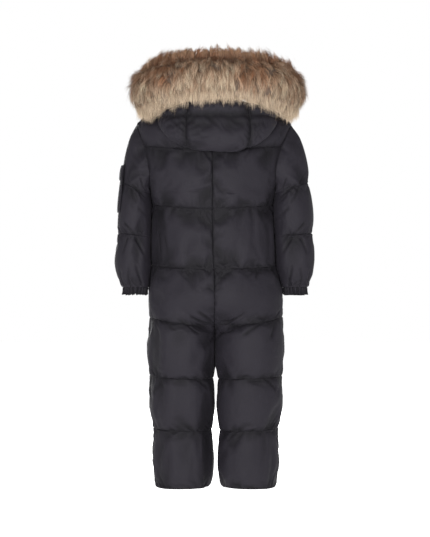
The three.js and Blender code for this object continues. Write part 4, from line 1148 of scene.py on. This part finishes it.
def plain_weave_group():
    """A fine plain weave over the cloth's own UV map, as height."""
    group = bpy.data.node_groups.new("plain_weave", "ShaderNodeTree")
    group.interface.new_socket("Threads per metre", in_out="INPUT", socket_type="NodeSocketFloat")
    group.interface.new_socket("Height", in_out="OUTPUT", socket_type="NodeSocketFloat")
    nodes, links = group.nodes, group.links
    start, end = nodes.new("NodeGroupInput"), nodes.new("NodeGroupOutput")
    uv = nodes.new("ShaderNodeUVMap")
    scaled = nodes.new("ShaderNodeVectorMath")
    scaled.operation = "SCALE"
    links.new(uv.outputs["UV"], scaled.inputs[0])
    links.new(start.outputs["Threads per metre"], scaled.inputs["Scale"])
    waves = []
    for direction in ("X", "Y"):
        wave = nodes.new("ShaderNodeTexWave")
        wave.wave_type = "BANDS"
        wave.bands_direction = direction
        wave.wave_profile = "SIN"
        wave.inputs["Scale"].default_value = WAVES_PER_UNIT
        wave.inputs["Distortion"].default_value = 0
        links.new(scaled.outputs["Vector"], wave.inputs["Vector"])
        waves.append(wave)
    both = nodes.new("ShaderNodeMath")
    both.operation = "MULTIPLY"
    links.new(waves[0].outputs["Fac"], both.inputs[0])
    links.new(waves[1].outputs["Fac"], both.inputs[1])
    links.new(both.outputs["Value"], end.inputs["Height"])
    return group


def cloth_noise_group():
    """Soft unevenness of cloth: small rumples as height, and broad cloudiness as a mask."""
    group = bpy.data.node_groups.new("cloth_unevenness", "ShaderNodeTree")
    group.interface.new_socket("Rumple size", in_out="INPUT", socket_type="NodeSocketFloat")
    group.interface.new_socket("Rumples", in_out="OUTPUT", socket_type="NodeSocketFloat")
    group.interface.new_socket("Clouds", in_out="OUTPUT", socket_type="NodeSocketFloat")
    start, end = group.nodes.new("NodeGroupInput"), group.nodes.new("NodeGroupOutput")
    rumples = object_noise(group, scale=1.0, detail=3.0)
    clouds = object_noise(group, scale=14.0)
    group.links.new(start.outputs["Rumple size"], rumples.inputs["Scale"])
    for noise, name in ((rumples, "Rumples"), (clouds, "Clouds")):
        noise.inputs["Roughness"].default_value = 0.55
        group.links.new(noise.outputs["Fac"], end.inputs[name])
    return group


WEAVE = plain_weave_group()
UNEVEN = cloth_noise_group()
# Depths here are metres, as materials take them. The colour of the painted shade is a share of the dark
# one.
WEAVE_DEPTH = 0.00006
RUMPLES = {"scale": 60.0, "deep": 0.0009}
PAINTED_SHADE_COLOUR = 0.36


def nylon(name, dark, light, roughness, sheen=0.02, threads=3300.0):
    """Downproof nylon: a tight plain weave of so many threads a metre, with soft small rumples and a
    dull sheen. Its colour is darkened with painted shade in the hollows of folds and seams."""
    material, tree, shader = new_material(name)
    weave = tree.nodes.new("ShaderNodeGroup")
    weave.node_tree = WEAVE
    weave.inputs["Threads per metre"].default_value = threads
    uneven = tree.nodes.new("ShaderNodeGroup")
    uneven.node_tree = UNEVEN
    uneven.inputs["Rumple size"].default_value = RUMPLES["scale"]
    cloudy = colour_mix(tree, uneven.outputs["Clouds"], dark, light)
    # Painted shade: the colour darkens towards a share of the dark one as the mesh's shade attribute rises.
    deep = tuple(PAINTED_SHADE_COLOUR * value for value in dark)
    shaded = colour_mix(tree, attribute_node(tree, "painted_shade").outputs["Fac"], cloudy, deep)
    soft = add_bump(tree, uneven.outputs["Rumples"], 1.0, RUMPLES["deep"])
    fine = add_bump(tree, weave.outputs["Height"], 0.5, WEAVE_DEPTH, soft)
    tree.links.new(shaded, shader.inputs["Base Color"])
    tree.links.new(fine, shader.inputs["Normal"])
    shader.inputs["Roughness"].default_value = roughness
    shader.inputs["Specular IOR Level"].default_value = 0.13
    shader.inputs["Sheen Weight"].default_value = sheen
    shader.inputs["Sheen Roughness"].default_value = 0.5
    shader.inputs["Sheen Tint"].default_value = (0.75, 0.72, 0.82, 1)
    return material


SHELL = nylon("shell_nylon", (0.0112, 0.0098, 0.0135), (0.0160, 0.0142, 0.0190), 0.66)
CUFF_CLOTH = nylon("cuff_nylon", (0.011, 0.010, 0.013), (0.016, 0.014, 0.019), 0.68)
THREAD = nylon("sewing_thread", (0.006, 0.005, 0.007), (0.009, 0.008, 0.010), 0.8, threads=9000.0)
ZIP_TAPE = nylon("zip_tape", (0.012, 0.012, 0.014), (0.018, 0.018, 0.020), 0.7, 0.1, threads=1600.0)


def fur_hair_material():
    """Hair whose colour lies in the strands' own attribute."""
    material, tree, shader = new_material("fur_hair")
    colour = attribute_node(tree, "hair_colour")
    tree.links.new(colour.outputs["Color"], shader.inputs["Base Color"])
    shader.inputs["Roughness"].default_value = 0.55
    shader.inputs["Specular IOR Level"].default_value = 0.15
    return material


def pelt_material():
    """The skin and underfur that the hair grows from."""
    material, tree, shader = new_material("fur_pelt")
    noise = object_noise(tree, scale=220)
    colour = colour_mix(tree, noise.outputs["Fac"], (0.045, 0.028, 0.020), (0.13, 0.090, 0.065))
    tree.links.new(colour, shader.inputs["Base Color"])
    shader.inputs["Roughness"].default_value = 0.9
    return material


def painted_metal_material():
    material, tree, shader = new_material("zip_metal")
    noise = object_noise(tree, scale=900, detail=3)
    rough = tree.nodes.new("ShaderNodeMapRange")
    rough.inputs["To Min"].default_value = 0.28
    rough.inputs["To Max"].default_value = 0.45
    tree.links.new(noise.outputs["Fac"], rough.inputs["Value"])
    tree.links.new(rough.outputs["Result"], shader.inputs["Roughness"])
    shader.inputs["Base Color"].default_value = (0.03, 0.03, 0.033, 1)
    shader.inputs["Metallic"].default_value = 0.7
    return material


FUR_HAIR = fur_hair_material()
PELT = pelt_material()
ZIP_METAL = painted_metal_material()


# The quilted panels, sleeves, collar, hood, pocket and zip

def keep(piece, node):
    """A finished piece of cloth that stands for its solid and moves with the suit."""
    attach(piece, "suit")
    if node:
        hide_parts(node)


THREAD_RUNS = []


def sew_along(points, rows, lift=0.25):
    """Keeps the lines on a skin of cloth that stitches run along, with the outward way there."""
    normal = grid_normals(points)
    for row in rows:
        THREAD_RUNS.append((points[row] + normal[row] * lift, normal[row]))


def make_body():
    lines = np.flatnonzero(body_rows()[:, 1] == 0)
    for side, wearer in ((1, "left"), (-1, "right")):
        for face, name in ((1, "back"), (-1, "front")):
            outer, across, level, pinched = body_panel_points(side, face, False)
            inner = body_panel_points(side, face, True)[0]
            beside_sleeve = (1 - smooth_step(0.06, 0.3, across)) * (level > SLEEVE_LINES[-1])
            between_legs = smooth_step(0.8, 0.95, across)
            between_legs = between_legs * (1 - smooth_step(CROTCH_BOTTOM - 10, CROTCH_BOTTOM + 40, level))
            most = lerp(MOST_CRUMPLE, 0.5, np.maximum(beside_sleeve, between_legs))
            outer = crumpled(outer, held_at_seams(outer, lines), most, seed=11 + 2 * side + face)
            turned = outer if side * face > 0 else outer[:, ::-1]
            sew_along(turned, lines[1:])
            crown = body_crown(side, face, across, level)
            from_edge = np.minimum(across, 1 - across) * torso_at(level)["half"] * QUARTER_FOR_SHADE
            # Painted shade: deep in the quilting, in folds and puckers and beside the seams, and none
            # between the legs.
            painted_shade = np.maximum(painted_shade_from_depth(outer, crown), FOLD_SHADE * pinched)
            painted_shade = np.maximum(painted_shade, seam_shade(from_edge)) * (1 - between_legs)
            piece = quilted_wall(f"quilted_{name}_{wearer}", outer, inner[::2, ::2], SHELL, painted_shade=painted_shade)
            keep(piece, f"{name}_{wearer}")


def make_sleeves():
    lines = [SLEEVE_CAP_ROWS, SLEEVE_CAP_ROWS + SLEEVE_CHAMBER_ROWS]
    for side, wearer in ((1, "left"), (-1, "right")):
        outer, turn, along, pinched = sleeve_points(side, False)
        inner = sleeve_points(side, True)[0]
        beside_body = smooth_step(0.2, 0.8, -np.cos(turn))
        under_pocket = (side > 0) * smooth_step(0.4, 0.75, np.cos(turn)) * (along < 1.6)
        most = lerp(MOST_CRUMPLE, 0.4, np.maximum(beside_body, under_pocket))
        outer = crumpled(outer, held_at_seams(outer, lines, tube=True), most, seed=31 + side, tube=True)
        turned = outer if side < 0 else outer[:, ::-1]
        sew_along(turned, lines)
        # Painted shade deep in the quilting and in folds and puckers.
        painted_shade = np.maximum(painted_shade_from_depth(outer, sleeve_crown(side, turn, along)), FOLD_SHADE * pinched)
        name = f"quilted_sleeve_{wearer}"
        piece = quilted_wall(name, outer, inner[::2, ::2], SHELL, tube=True, painted_shade=painted_shade)
        keep(piece, f"sleeve_{wearer}")
        make_cuff(side, wearer)


def make_cuff(side, wearer):
    outer = cuff_points(side, False)
    # Painted shade over the whole cuff, darker where the cloth lies below the smoothed gathers.
    half_gather = round(CUFF_AROUND / CUFF["gathers"] / 2)
    before, after = (np.roll(outer[:, :-1], step, axis=1) for step in (half_gather, -half_gather))
    smooth = (before + after) / 2
    smooth = np.concatenate([smooth, smooth[:, :1]], axis=1)
    below = np.sum((smooth - outer) * -side * grid_normals(outer), axis=-1)
    painted_shade = np.clip(0.35 + 0.3 * below, 0, FOLD_SHADE)
    name = f"gathered_cuff_{wearer}"
    piece = quilted_wall(name, outer, cuff_points(side, True), CUFF_CLOTH, tube=True, painted_shade=painted_shade)
    keep(piece, f"cuff_{wearer}")


def make_collar():
    outer = collar_points(False)
    outer = crumpled(outer, held_at_seams(outer), np.full(outer.shape[:2], 0.8), seed=41)
    piece = quilted_wall("padded_collar", outer, collar_points(True), SHELL)
    keep(piece, "collar")


def make_hood():
    run, along, middle, normal, around, fill, (right_edge, left_edge) = hood_surfaces()
    last = run.shape[1] - 1
    cloth = hood_wall_at(np.abs(run))
    from_panel_seam = (np.abs(run) - hood_panel_edge(along)) * HOOD_MAP["around"]
    from_band_seam = (along - HOOD_SEAM) * HOOD_MAP["down"]
    full = beside_seam(from_panel_seam, 9, 0.2) * fill
    groove = HOOD_GROOVE * np.exp(-((from_panel_seam / 4.5) ** 2)) * (np.abs(run) < 2)
    groove += HOOD_GROOVE * np.exp(-((from_band_seam / 4.5) ** 2))
    at_back = 1 - smooth_step(1.6, 2.3, np.abs(run))
    swell = cloth["swell"] + HOOD_PUFF * smooth_step(0.4, 0.55, along) * at_back
    far = np.full_like(along, 99)
    down_the_seam = along * HOOD_MAP["down"] + 60 * np.sign(run)
    small = puckers(np.abs(from_panel_seam), far, down_the_seam, 95)
    small = np.maximum(small, puckers(np.abs(from_band_seam), far, run * HOOD_MAP["around"], 97))
    small = 1.2 * small * smooth_step(0.45, 0.55, along) * (1 - smooth_step(1.7, 2.2, np.abs(run)))
    groove = np.minimum(groove, HOOD_GROOVE) + 0.8 * small
    outer = middle + normal * (cloth["wall"] / 2 + swell * full - groove)[..., None]
    full_form = middle + normal * (cloth["wall"] / 2 + swell)[..., None]
    inner = middle - normal * cloth["wall"][..., None] / 2
    for name, start, end in (
        ("right", 0, right_edge),
        ("centre", right_edge, left_edge),
        ("left", left_edge, last),
    ):
        columns = slice(start, end + 1)
        shift = np.zeros(end - start + 1)
        shift[0] = 0 if start == 0 else SEAM_GAP / 2
        shift[-1] = 0 if end == last else -SEAM_GAP / 2
        move = around[:, columns] * shift[None, :, None]
        skin, lining = outer[:, columns] + move, inner[:, columns] + move
        most = lerp(0.5, MOST_CRUMPLE, smooth_step(0.42, 0.55, along[:, columns]))
        most = lerp(most, 1.2, smooth_step(HOOD_SEAM - 0.04, HOOD_SEAM, along[:, columns]))
        skin = crumpled(skin, held_at_seams(skin, [HOOD_AROUND]), most, seed=51 + start)
        sew_along(skin, [HOOD_AROUND])
        # Painted shade deep in the quilting, beside the panel seams and in the puckers.
        painted_shade = painted_shade_from_depth(skin, full_form[:, columns] + move)
        near_seam = seam_shade(from_panel_seam[:, columns], reach=2.4)
        painted_shade = np.maximum(painted_shade, np.maximum(near_seam, small[:, columns] / 3.4))
        piece = quilted_wall(f"quilted_hood_{name}", skin, lining[::2, ::2], SHELL, painted_shade=painted_shade)
        keep(piece, f"hood_{name}")


def make_pocket():
    for name, node, patch in (
        ("sleeve_pocket", "pocket_left_sleeve", POCKET),
        ("sleeve_pocket_flap", "pocket_flap", FLAP),
    ):
        outer = patch_points(patch, False)
        piece = quilted_wall(name, outer, patch_points(patch, True), SHELL)
        keep(piece, node)
        normal = grid_normals(outer[:, ::-1])[:, ::-1]
        lifted = outer + normal * 0.2
        for edge in (2, -3):
            THREAD_RUNS.append((lifted[2:-2, edge], normal[2:-2, edge]))
        THREAD_RUNS.append((lifted[-3, 2:-2], normal[-3, 2:-2]))


def make_zip():
    line, normal = zip_line()
    sides = np.array([-1.0, -0.5, 0, 0.5, 1.0]) * ZIP["half"]
    across = np.array([1.0, 0, 0])
    taper = np.maximum(zip_opening(line[:, 2]), 0.1)
    outer = line[:, None, :] + (taper[:, None] * sides[None, :])[..., None] * across
    inner = outer - normal[:, None, :] * ZIP["thick"]
    piece = quilted_wall("zip_tape", outer, inner, ZIP_TAPE)
    keep(piece, "zip")
    teeth = []
    for side in (-1, 1):
        chain = line[:, 2] > ZIP["bottom"]
        place, up, _ = spaced_along(line[chain], normal[chain], TOOTH["pitch"], (1 + side) / 4)
        place = place + across * side * TOOTH["from_middle"]
        teeth.append((place, up, np.tile(across, (len(place), 1))))
    piece = small_blocks("zip_teeth", teeth, TOOTH["long"], TOOTH["wide"], TOOTH["high"], ZIP_METAL)
    keep(piece, None)


def make_stitches():
    runs = []
    for path, up in THREAD_RUNS:
        place, normal, way = spaced_along(path, up, STITCH["pitch"], 0.5)
        runs.append((place, normal, way))
    piece = small_blocks("quilting_stitches", runs, STITCH["long"], STITCH["wide"], STITCH["high"], THREAD)
    keep(piece, None)


def spaced_along(path, up, pitch, first):
    """Even places along a path of points, with the outward way and the way along it at each."""
    reach = np.concatenate([[0], np.cumsum(np.linalg.norm(np.diff(path, axis=0), axis=-1))])
    at = np.arange(first * pitch, reach[-1], pitch)
    follow = lambda values: np.stack([np.interp(at, reach, values[:, axis]) for axis in range(3)], axis=-1)
    way = np.gradient(path, axis=0)
    return follow(path), unit(follow(up)), unit(follow(way))


def small_blocks(name, runs, long, wide, high, material):
    """Many small blocks with sloping sides in one mesh, such as stitches or the teeth of a zip."""
    place, up, way = (np.concatenate(parts) for parts in zip(*runs))
    side = unit(np.cross(up, way))
    corners = []
    for rise, inset in ((-0.15, 1.0), (high, 0.55)):
        for along, across in ((-1, -1), (1, -1), (1, 1), (-1, 1)):
            move = way * along * (long / 2 - (1 - inset) * wide / 2) + side * across * wide / 2 * inset
            corners.append(place + move + up * rise)
    vertices = np.stack(corners, axis=1).reshape(-1, 3) * MM
    quads = np.array([(4, 5, 6, 7), (0, 1, 5, 4), (1, 2, 6, 5), (2, 3, 7, 6), (3, 0, 4, 7), (3, 2, 1, 0)])
    faces = (np.arange(len(place))[:, None, None] * 8 + quads[None]).reshape(-1, 4)
    mesh = bpy.data.meshes.new(name)
    mesh.from_pydata(vertices, [], faces)
    mesh.materials.append(material)
    piece = bpy.data.objects.new(name, mesh)
    bpy.context.scene.collection.objects.link(piece)
    return piece


# The fur


def fur_point(run, turn, reach):
    """A point in the tube of hair: reach 0 is its middle and 1 its outside."""
    centre, wide, high = fur_frame(run)
    taper = np.sqrt(1 - 0.8 * smooth_step(FUR_END * 0.8, FUR_END, np.abs(run)) ** 2)
    outward = fur_outward(run)
    points = centre + outward * (wide * np.cos(turn) * taper * reach)[..., None]
    points[..., 2] += high * np.sin(turn) * taper * reach
    return points


def lock_hairs(chance):
    """Hairs in locks all over the tube, combed away from its spine: the points along each hair, its
    lock's run and turn, and whether it is a guard hair."""
    locks, hairs = LOCKS["count"], LOCKS["hairs"]
    run = np.repeat(chance.uniform(-FUR_END, FUR_END, locks), hairs)
    turn = np.repeat(chance.uniform(-np.pi, np.pi, locks), hairs)
    root_run = run + chance.normal(0, LOCKS["spread"], run.size)
    root_turn = turn + chance.normal(0, LOCKS["spread"], run.size)
    from_spine = (turn - math.radians(LOCKS["spine"]) + np.pi) % (2 * np.pi) - np.pi
    way = np.where(from_spine < 0, -1, 1)
    sweep = way * (0.35 + 0.25 * np.minimum(np.abs(from_spine), 1.5)) * chance.uniform(0.7, 1.2, run.size)
    lock_lean = np.repeat(chance.normal(0, 0.1, locks), hairs)
    tip_run = lerp(root_run, run, 0.85) + lock_lean + chance.normal(0, 0.02, run.size)
    tip_turn = lerp(root_turn, turn, 0.8) + sweep
    root_reach = chance.uniform(0.5, 0.68, run.size)
    tip_reach = chance.normal(0.95, 0.045, run.size) + np.repeat(chance.normal(0, 0.055, locks), hairs)
    guard = chance.random(run.size) < LOCKS["guards"]
    tip_reach = tip_reach + guard * chance.uniform(0.04, 0.14, run.size)
    rings = []
    for ring in range(HAIR_RINGS):
        share = ring / (HAIR_RINGS - 1)
        at_run = np.clip(lerp(root_run, tip_run, share**1.3), -FUR_END, FUR_END)
        at_turn = lerp(root_turn, tip_turn, share**1.6)
        at_reach = lerp(root_reach, tip_reach, 1 - (1 - share) ** 1.4)
        rings.append(fur_point(at_run, at_turn, at_reach))
    return np.stack(rings, axis=1), run, turn, guard


def hanging_wisps(chance):
    """Fine pale hairs that hang over the hood from the fur's lower edge, with their run and turn."""
    count = WISPS["count"]
    run = chance.uniform(-WISPS["run"], WISPS["run"], count)
    turn = np.radians(chance.uniform(WISPS["turn_from"], WISPS["turn_to"], count))
    way_out = fur_outward(run)
    uneven = soft_noise(5, run * 9 + 70, 0 * run)
    length = chance.uniform(WISPS["short"], WISPS["long"], count) * (0.75 + 0.35 * uneven)
    root = fur_point(run, turn, np.full(count, 0.93))
    rings = [root]
    for share in (0.35, 0.7, 1.0):
        place = root + way_out * (length * (0.34 * share - 0.22 * share**2))[:, None]
        place[:, 2] -= length * share
        place[:, 0] += chance.normal(0, 1.0, count) * share
        rings.append(place)
    return np.stack(rings, axis=1), run, turn


def hair_sides(chance, rings, run, guard, hanging):
    """The two edges of each hair, a flat blade that narrows to its tip."""
    middle = fur_frame(np.clip(run, -FUR_END, FUR_END))[0]
    outward = unit(rings[:, 1] - middle)
    along = unit(rings[:, -1] - rings[:, 0])
    flat = unit(np.cross(along, outward) + chance.normal(0, 0.35, along.shape))
    width = chance.uniform(*HAIR_WIDTH, run.size) * np.where(guard, 0.6, 1)
    width = width * np.where(hanging, 0.8, 1)
    reach = flat[:, None, :] * (width[:, None] * np.array(HAIR_TAPER)[None, :])[..., None]
    return rings - reach, rings + reach


def hair_colours(chance, run, turn, guard, hanging):
    """Each hair's colour from its root to its tip, browner in the dark zones and patches. The dark roots
    are painted shade deep in the fur.
    """
    locks = LOCKS["count"]
    zone = 0.75 * smooth_step(0.1, 0.85, np.sin(turn))
    for at_run, at_turn in FUR_PATCHES:
        aside = (run - at_run) / FUR_PATCH["run"]
        away = np.hypot(aside, (turn - math.radians(at_turn)) / FUR_PATCH["turn"])
        zone = np.maximum(zone, np.exp(-(away**2)))
    lock = np.arange(locks).repeat(LOCKS["hairs"])
    lock = np.concatenate([lock, np.arange(WISPS["count"]) % locks])
    zone = zone + 0.26 * chance.normal(0, 1, locks)[lock]
    zone = np.clip(zone + chance.normal(0, 0.1, run.size), 0, 1)[:, None]
    lock_tone = np.exp(chance.normal(0, 0.26, locks))[lock]
    tone = np.clip((lock_tone * chance.lognormal(0, 0.36, run.size))[:, None], 0.4, 1.5)
    # Dark roots: painted shade deep in the fur.
    root = np.where(hanging[:, None], FUR_BEIGE, lerp(FUR_BROWN, FUR_DARK, zone) * tone)
    middle = np.where(hanging[:, None], FUR_PALE * 0.9, lerp(FUR_BEIGE, FUR_BROWN, zone) * tone)
    tip = lerp(FUR_PALE, FUR_BROWN * 0.65, zone) * tone
    tip = np.where(guard[:, None], lerp(tip, FUR_PALE, 0.6), np.minimum(tip, 0.7))
    return np.stack([root, lerp(root, middle, 0.6), middle, tip], axis=1)


def hair_mesh(name, left, right, rings, colours):
    """One mesh of hairs, each a strip of quads that ends in a triangle at the tip."""
    count = len(rings)
    body = np.stack([left, right], axis=2)[:, : HAIR_RINGS - 1].reshape(count, -1, 3)
    vertices = np.concatenate([body, rings[:, -1:]], axis=1)
    both_sides = np.repeat(colours[:, : HAIR_RINGS - 1], 2, axis=1)
    colours = np.concatenate([both_sides, colours[:, -1:]], axis=1)
    per_hair = vertices.shape[1]
    quads = [(2 * ring, 2 * ring + 1, 2 * ring + 3, 2 * ring + 2) for ring in range(HAIR_RINGS - 2)]
    tip = (2 * (HAIR_RINGS - 2), 2 * (HAIR_RINGS - 2) + 1, per_hair - 1)
    corners = np.array([corner for face in (*quads, tip) for corner in face])
    sizes = np.tile([4] * len(quads) + [3], count)
    loops = (np.arange(count)[:, None] * per_hair + corners[None, :]).ravel()
    starts = np.concatenate([[0], np.cumsum(sizes)[:-1]])
    mesh = bpy.data.meshes.new(name)
    mesh.vertices.add(count * per_hair)
    mesh.vertices.foreach_set("co", (vertices * MM).astype(np.float32).ravel())
    mesh.loops.add(len(loops))
    mesh.loops.foreach_set("vertex_index", loops.astype(np.int32))
    mesh.polygons.add(len(sizes))
    mesh.polygons.foreach_set("loop_start", starts.astype(np.int32))
    mesh.update(calc_edges=True)
    mesh.polygons.foreach_set("use_smooth", [True] * len(mesh.polygons))
    attribute = mesh.color_attributes.new("hair_colour", "FLOAT_COLOR", "POINT")
    rgba = np.concatenate([colours.reshape(-1, 3), np.ones((count * per_hair, 1))], axis=1)
    attribute.data.foreach_set("color", rgba.astype(np.float32).ravel())
    mesh.materials.append(FUR_HAIR)
    return mesh


def make_fur():
    chance = np.random.default_rng(41)
    rings, run, turn, guard = lock_hairs(chance)
    wisp_rings, wisp_run, wisp_turn = hanging_wisps(chance)
    hanging = np.arange(len(run) + len(wisp_run)) >= len(run)
    rings = np.concatenate([rings, wisp_rings])
    run = np.concatenate([run, wisp_run])
    turn = np.concatenate([turn, wisp_turn])
    guard = np.concatenate([guard, np.ones(len(wisp_run), bool)])
    left, right = hair_sides(chance, rings, run, guard, hanging)
    colours = hair_colours(chance, run, turn, guard, hanging)
    order = np.argsort(run, kind="stable")
    for part, chosen in enumerate(np.array_split(order, HAIR_PARTS)):
        mesh = hair_mesh(f"fur_{part}", left[chosen], right[chosen], rings[chosen], colours[chosen])
        keep(link_object(f"fur_hair_{part + 1}", mesh), "fur_trim")


def make_pelt():
    """The strip that the hair grows from. It is fuller at its foot, where the hair hangs down."""
    around = np.linspace(0, 2 * np.pi, 33)[None, :]
    runs = np.linspace(-FUR_END, FUR_END, 120)[:, None]
    runs, around = np.broadcast_arrays(runs, around)
    down = -np.sin(around)
    reach = 0.6 + 0.26 * smooth_step(0.2, 0.85, down) + 0.1 * smooth_step(0.86, 0.98, down)
    bm = bmesh.new()
    made = add_cloth_grid(bm, fur_point(runs, around, reach))
    bmesh.ops.remove_doubles(bm, verts=made, dist=1e-6)
    bmesh.ops.holes_fill(bm, edges=[edge for edge in bm.edges if edge.is_boundary], sides=0)
    bmesh.ops.recalc_face_normals(bm, faces=bm.faces)
    keep(object_from(bm, "fur_pelt", PELT), "fur_trim")


# The stage, the lights and the camera

FRAME_HEIGHT = 1.074
CAMERA_PLACE = (0.001, 3.1, -0.317)
SENSOR = 36.0


def make_camera():
    data = bpy.data.cameras.new("camera")
    data.sensor_fit = "AUTO"
    data.sensor_width = SENSOR
    data.lens = SENSOR * CAMERA_PLACE[1] / FRAME_HEIGHT
    camera = link_object("camera", data)
    camera.location = CAMERA_PLACE
    camera.rotation_euler = (math.pi / 2, 0, math.pi)
    bpy.context.scene.camera = camera


def make_stage():
    material, tree, shader = new_material("studio_white")
    nodes, links = tree.nodes, tree.links
    place = nodes.new("ShaderNodeTexCoord")
    noise = nodes.new("ShaderNodeTexNoise")
    noise.inputs["Scale"].default_value = 3
    mix = nodes.new("ShaderNodeMix")
    mix.data_type = "RGBA"
    mix.inputs["A"].default_value = (0.93, 0.93, 0.93, 1)
    mix.inputs["B"].default_value = (0.96, 0.96, 0.96, 1)
    links.new(place.outputs["Object"], noise.inputs["Vector"])
    links.new(noise.outputs["Fac"], mix.inputs["Factor"])
    links.new(mix.outputs["Result"], shader.inputs["Base Color"])
    shader.inputs["Roughness"].default_value = 0.9
    shader.inputs["Emission Color"].default_value = (1, 1, 1, 1)
    shader.inputs["Emission Strength"].default_value = 0.7
    bm = bmesh.new()
    bmesh.ops.create_grid(bm, x_segments=1, y_segments=1, size=9)
    for vert in bm.verts:
        vert.co.z = -0.9
    floor = object_from(bm, "floor", material, smooth=False)


def area_light(name, place, aim, size, power, colour=(1, 1, 1)):
    data = bpy.data.lights.new(name, "AREA")
    data.shape = "RECTANGLE"
    data.size, data.size_y = size
    data.energy = power
    data.color = colour
    light = bpy.data.objects.new(name, data)
    light.location = place
    light.rotation_euler = (Vector(aim) - Vector(place)).to_track_quat("-Z", "Y").to_euler()
    bpy.context.scene.collection.objects.link(light)


def make_lights():
    world = bpy.data.worlds.new("studio")
    world.use_nodes = True
    nodes, links = world.node_tree.nodes, world.node_tree.links
    soft = nodes["Background"]
    soft.inputs["Color"].default_value = (1, 1, 1, 1)
    soft.inputs["Strength"].default_value = 0.45
    seen = nodes.new("ShaderNodeBackground")
    seen.inputs["Color"].default_value = (1, 1, 1, 1)
    path = nodes.new("ShaderNodeLightPath")
    mix = nodes.new("ShaderNodeMixShader")
    links.new(path.outputs["Is Camera Ray"], mix.inputs["Fac"])
    links.new(soft.outputs["Background"], mix.inputs[1])
    links.new(seen.outputs["Background"], mix.inputs[2])
    links.new(mix.outputs["Shader"], nodes["World Output"].inputs["Surface"])
    bpy.context.scene.world = world
    middle = (0, 0, -0.36)
    area_light("key_left", (0.75, 3.3, -0.25), middle, (0.9, 1.1), 75)
    area_light("key_right", (-0.6, 3.3, 0.1), middle, (0.9, 1.1), 45)
    area_light("front_key", (0.5, -3.2, 0.1), middle, (1.6, 1.6), 90)
    bpy.context.scene.view_settings.view_transform = "Standard"


make_camera()
make_stage()
make_lights()
make_body()
make_sleeves()
make_collar()
make_hood()
make_pocket()
make_zip()
make_stitches()
make_fur()
make_pelt()

for node in ("zip_slider", "zip_pull"):
    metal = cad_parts[node]
    metal.data.materials.clear()
    metal.data.materials.append(ZIP_METAL)
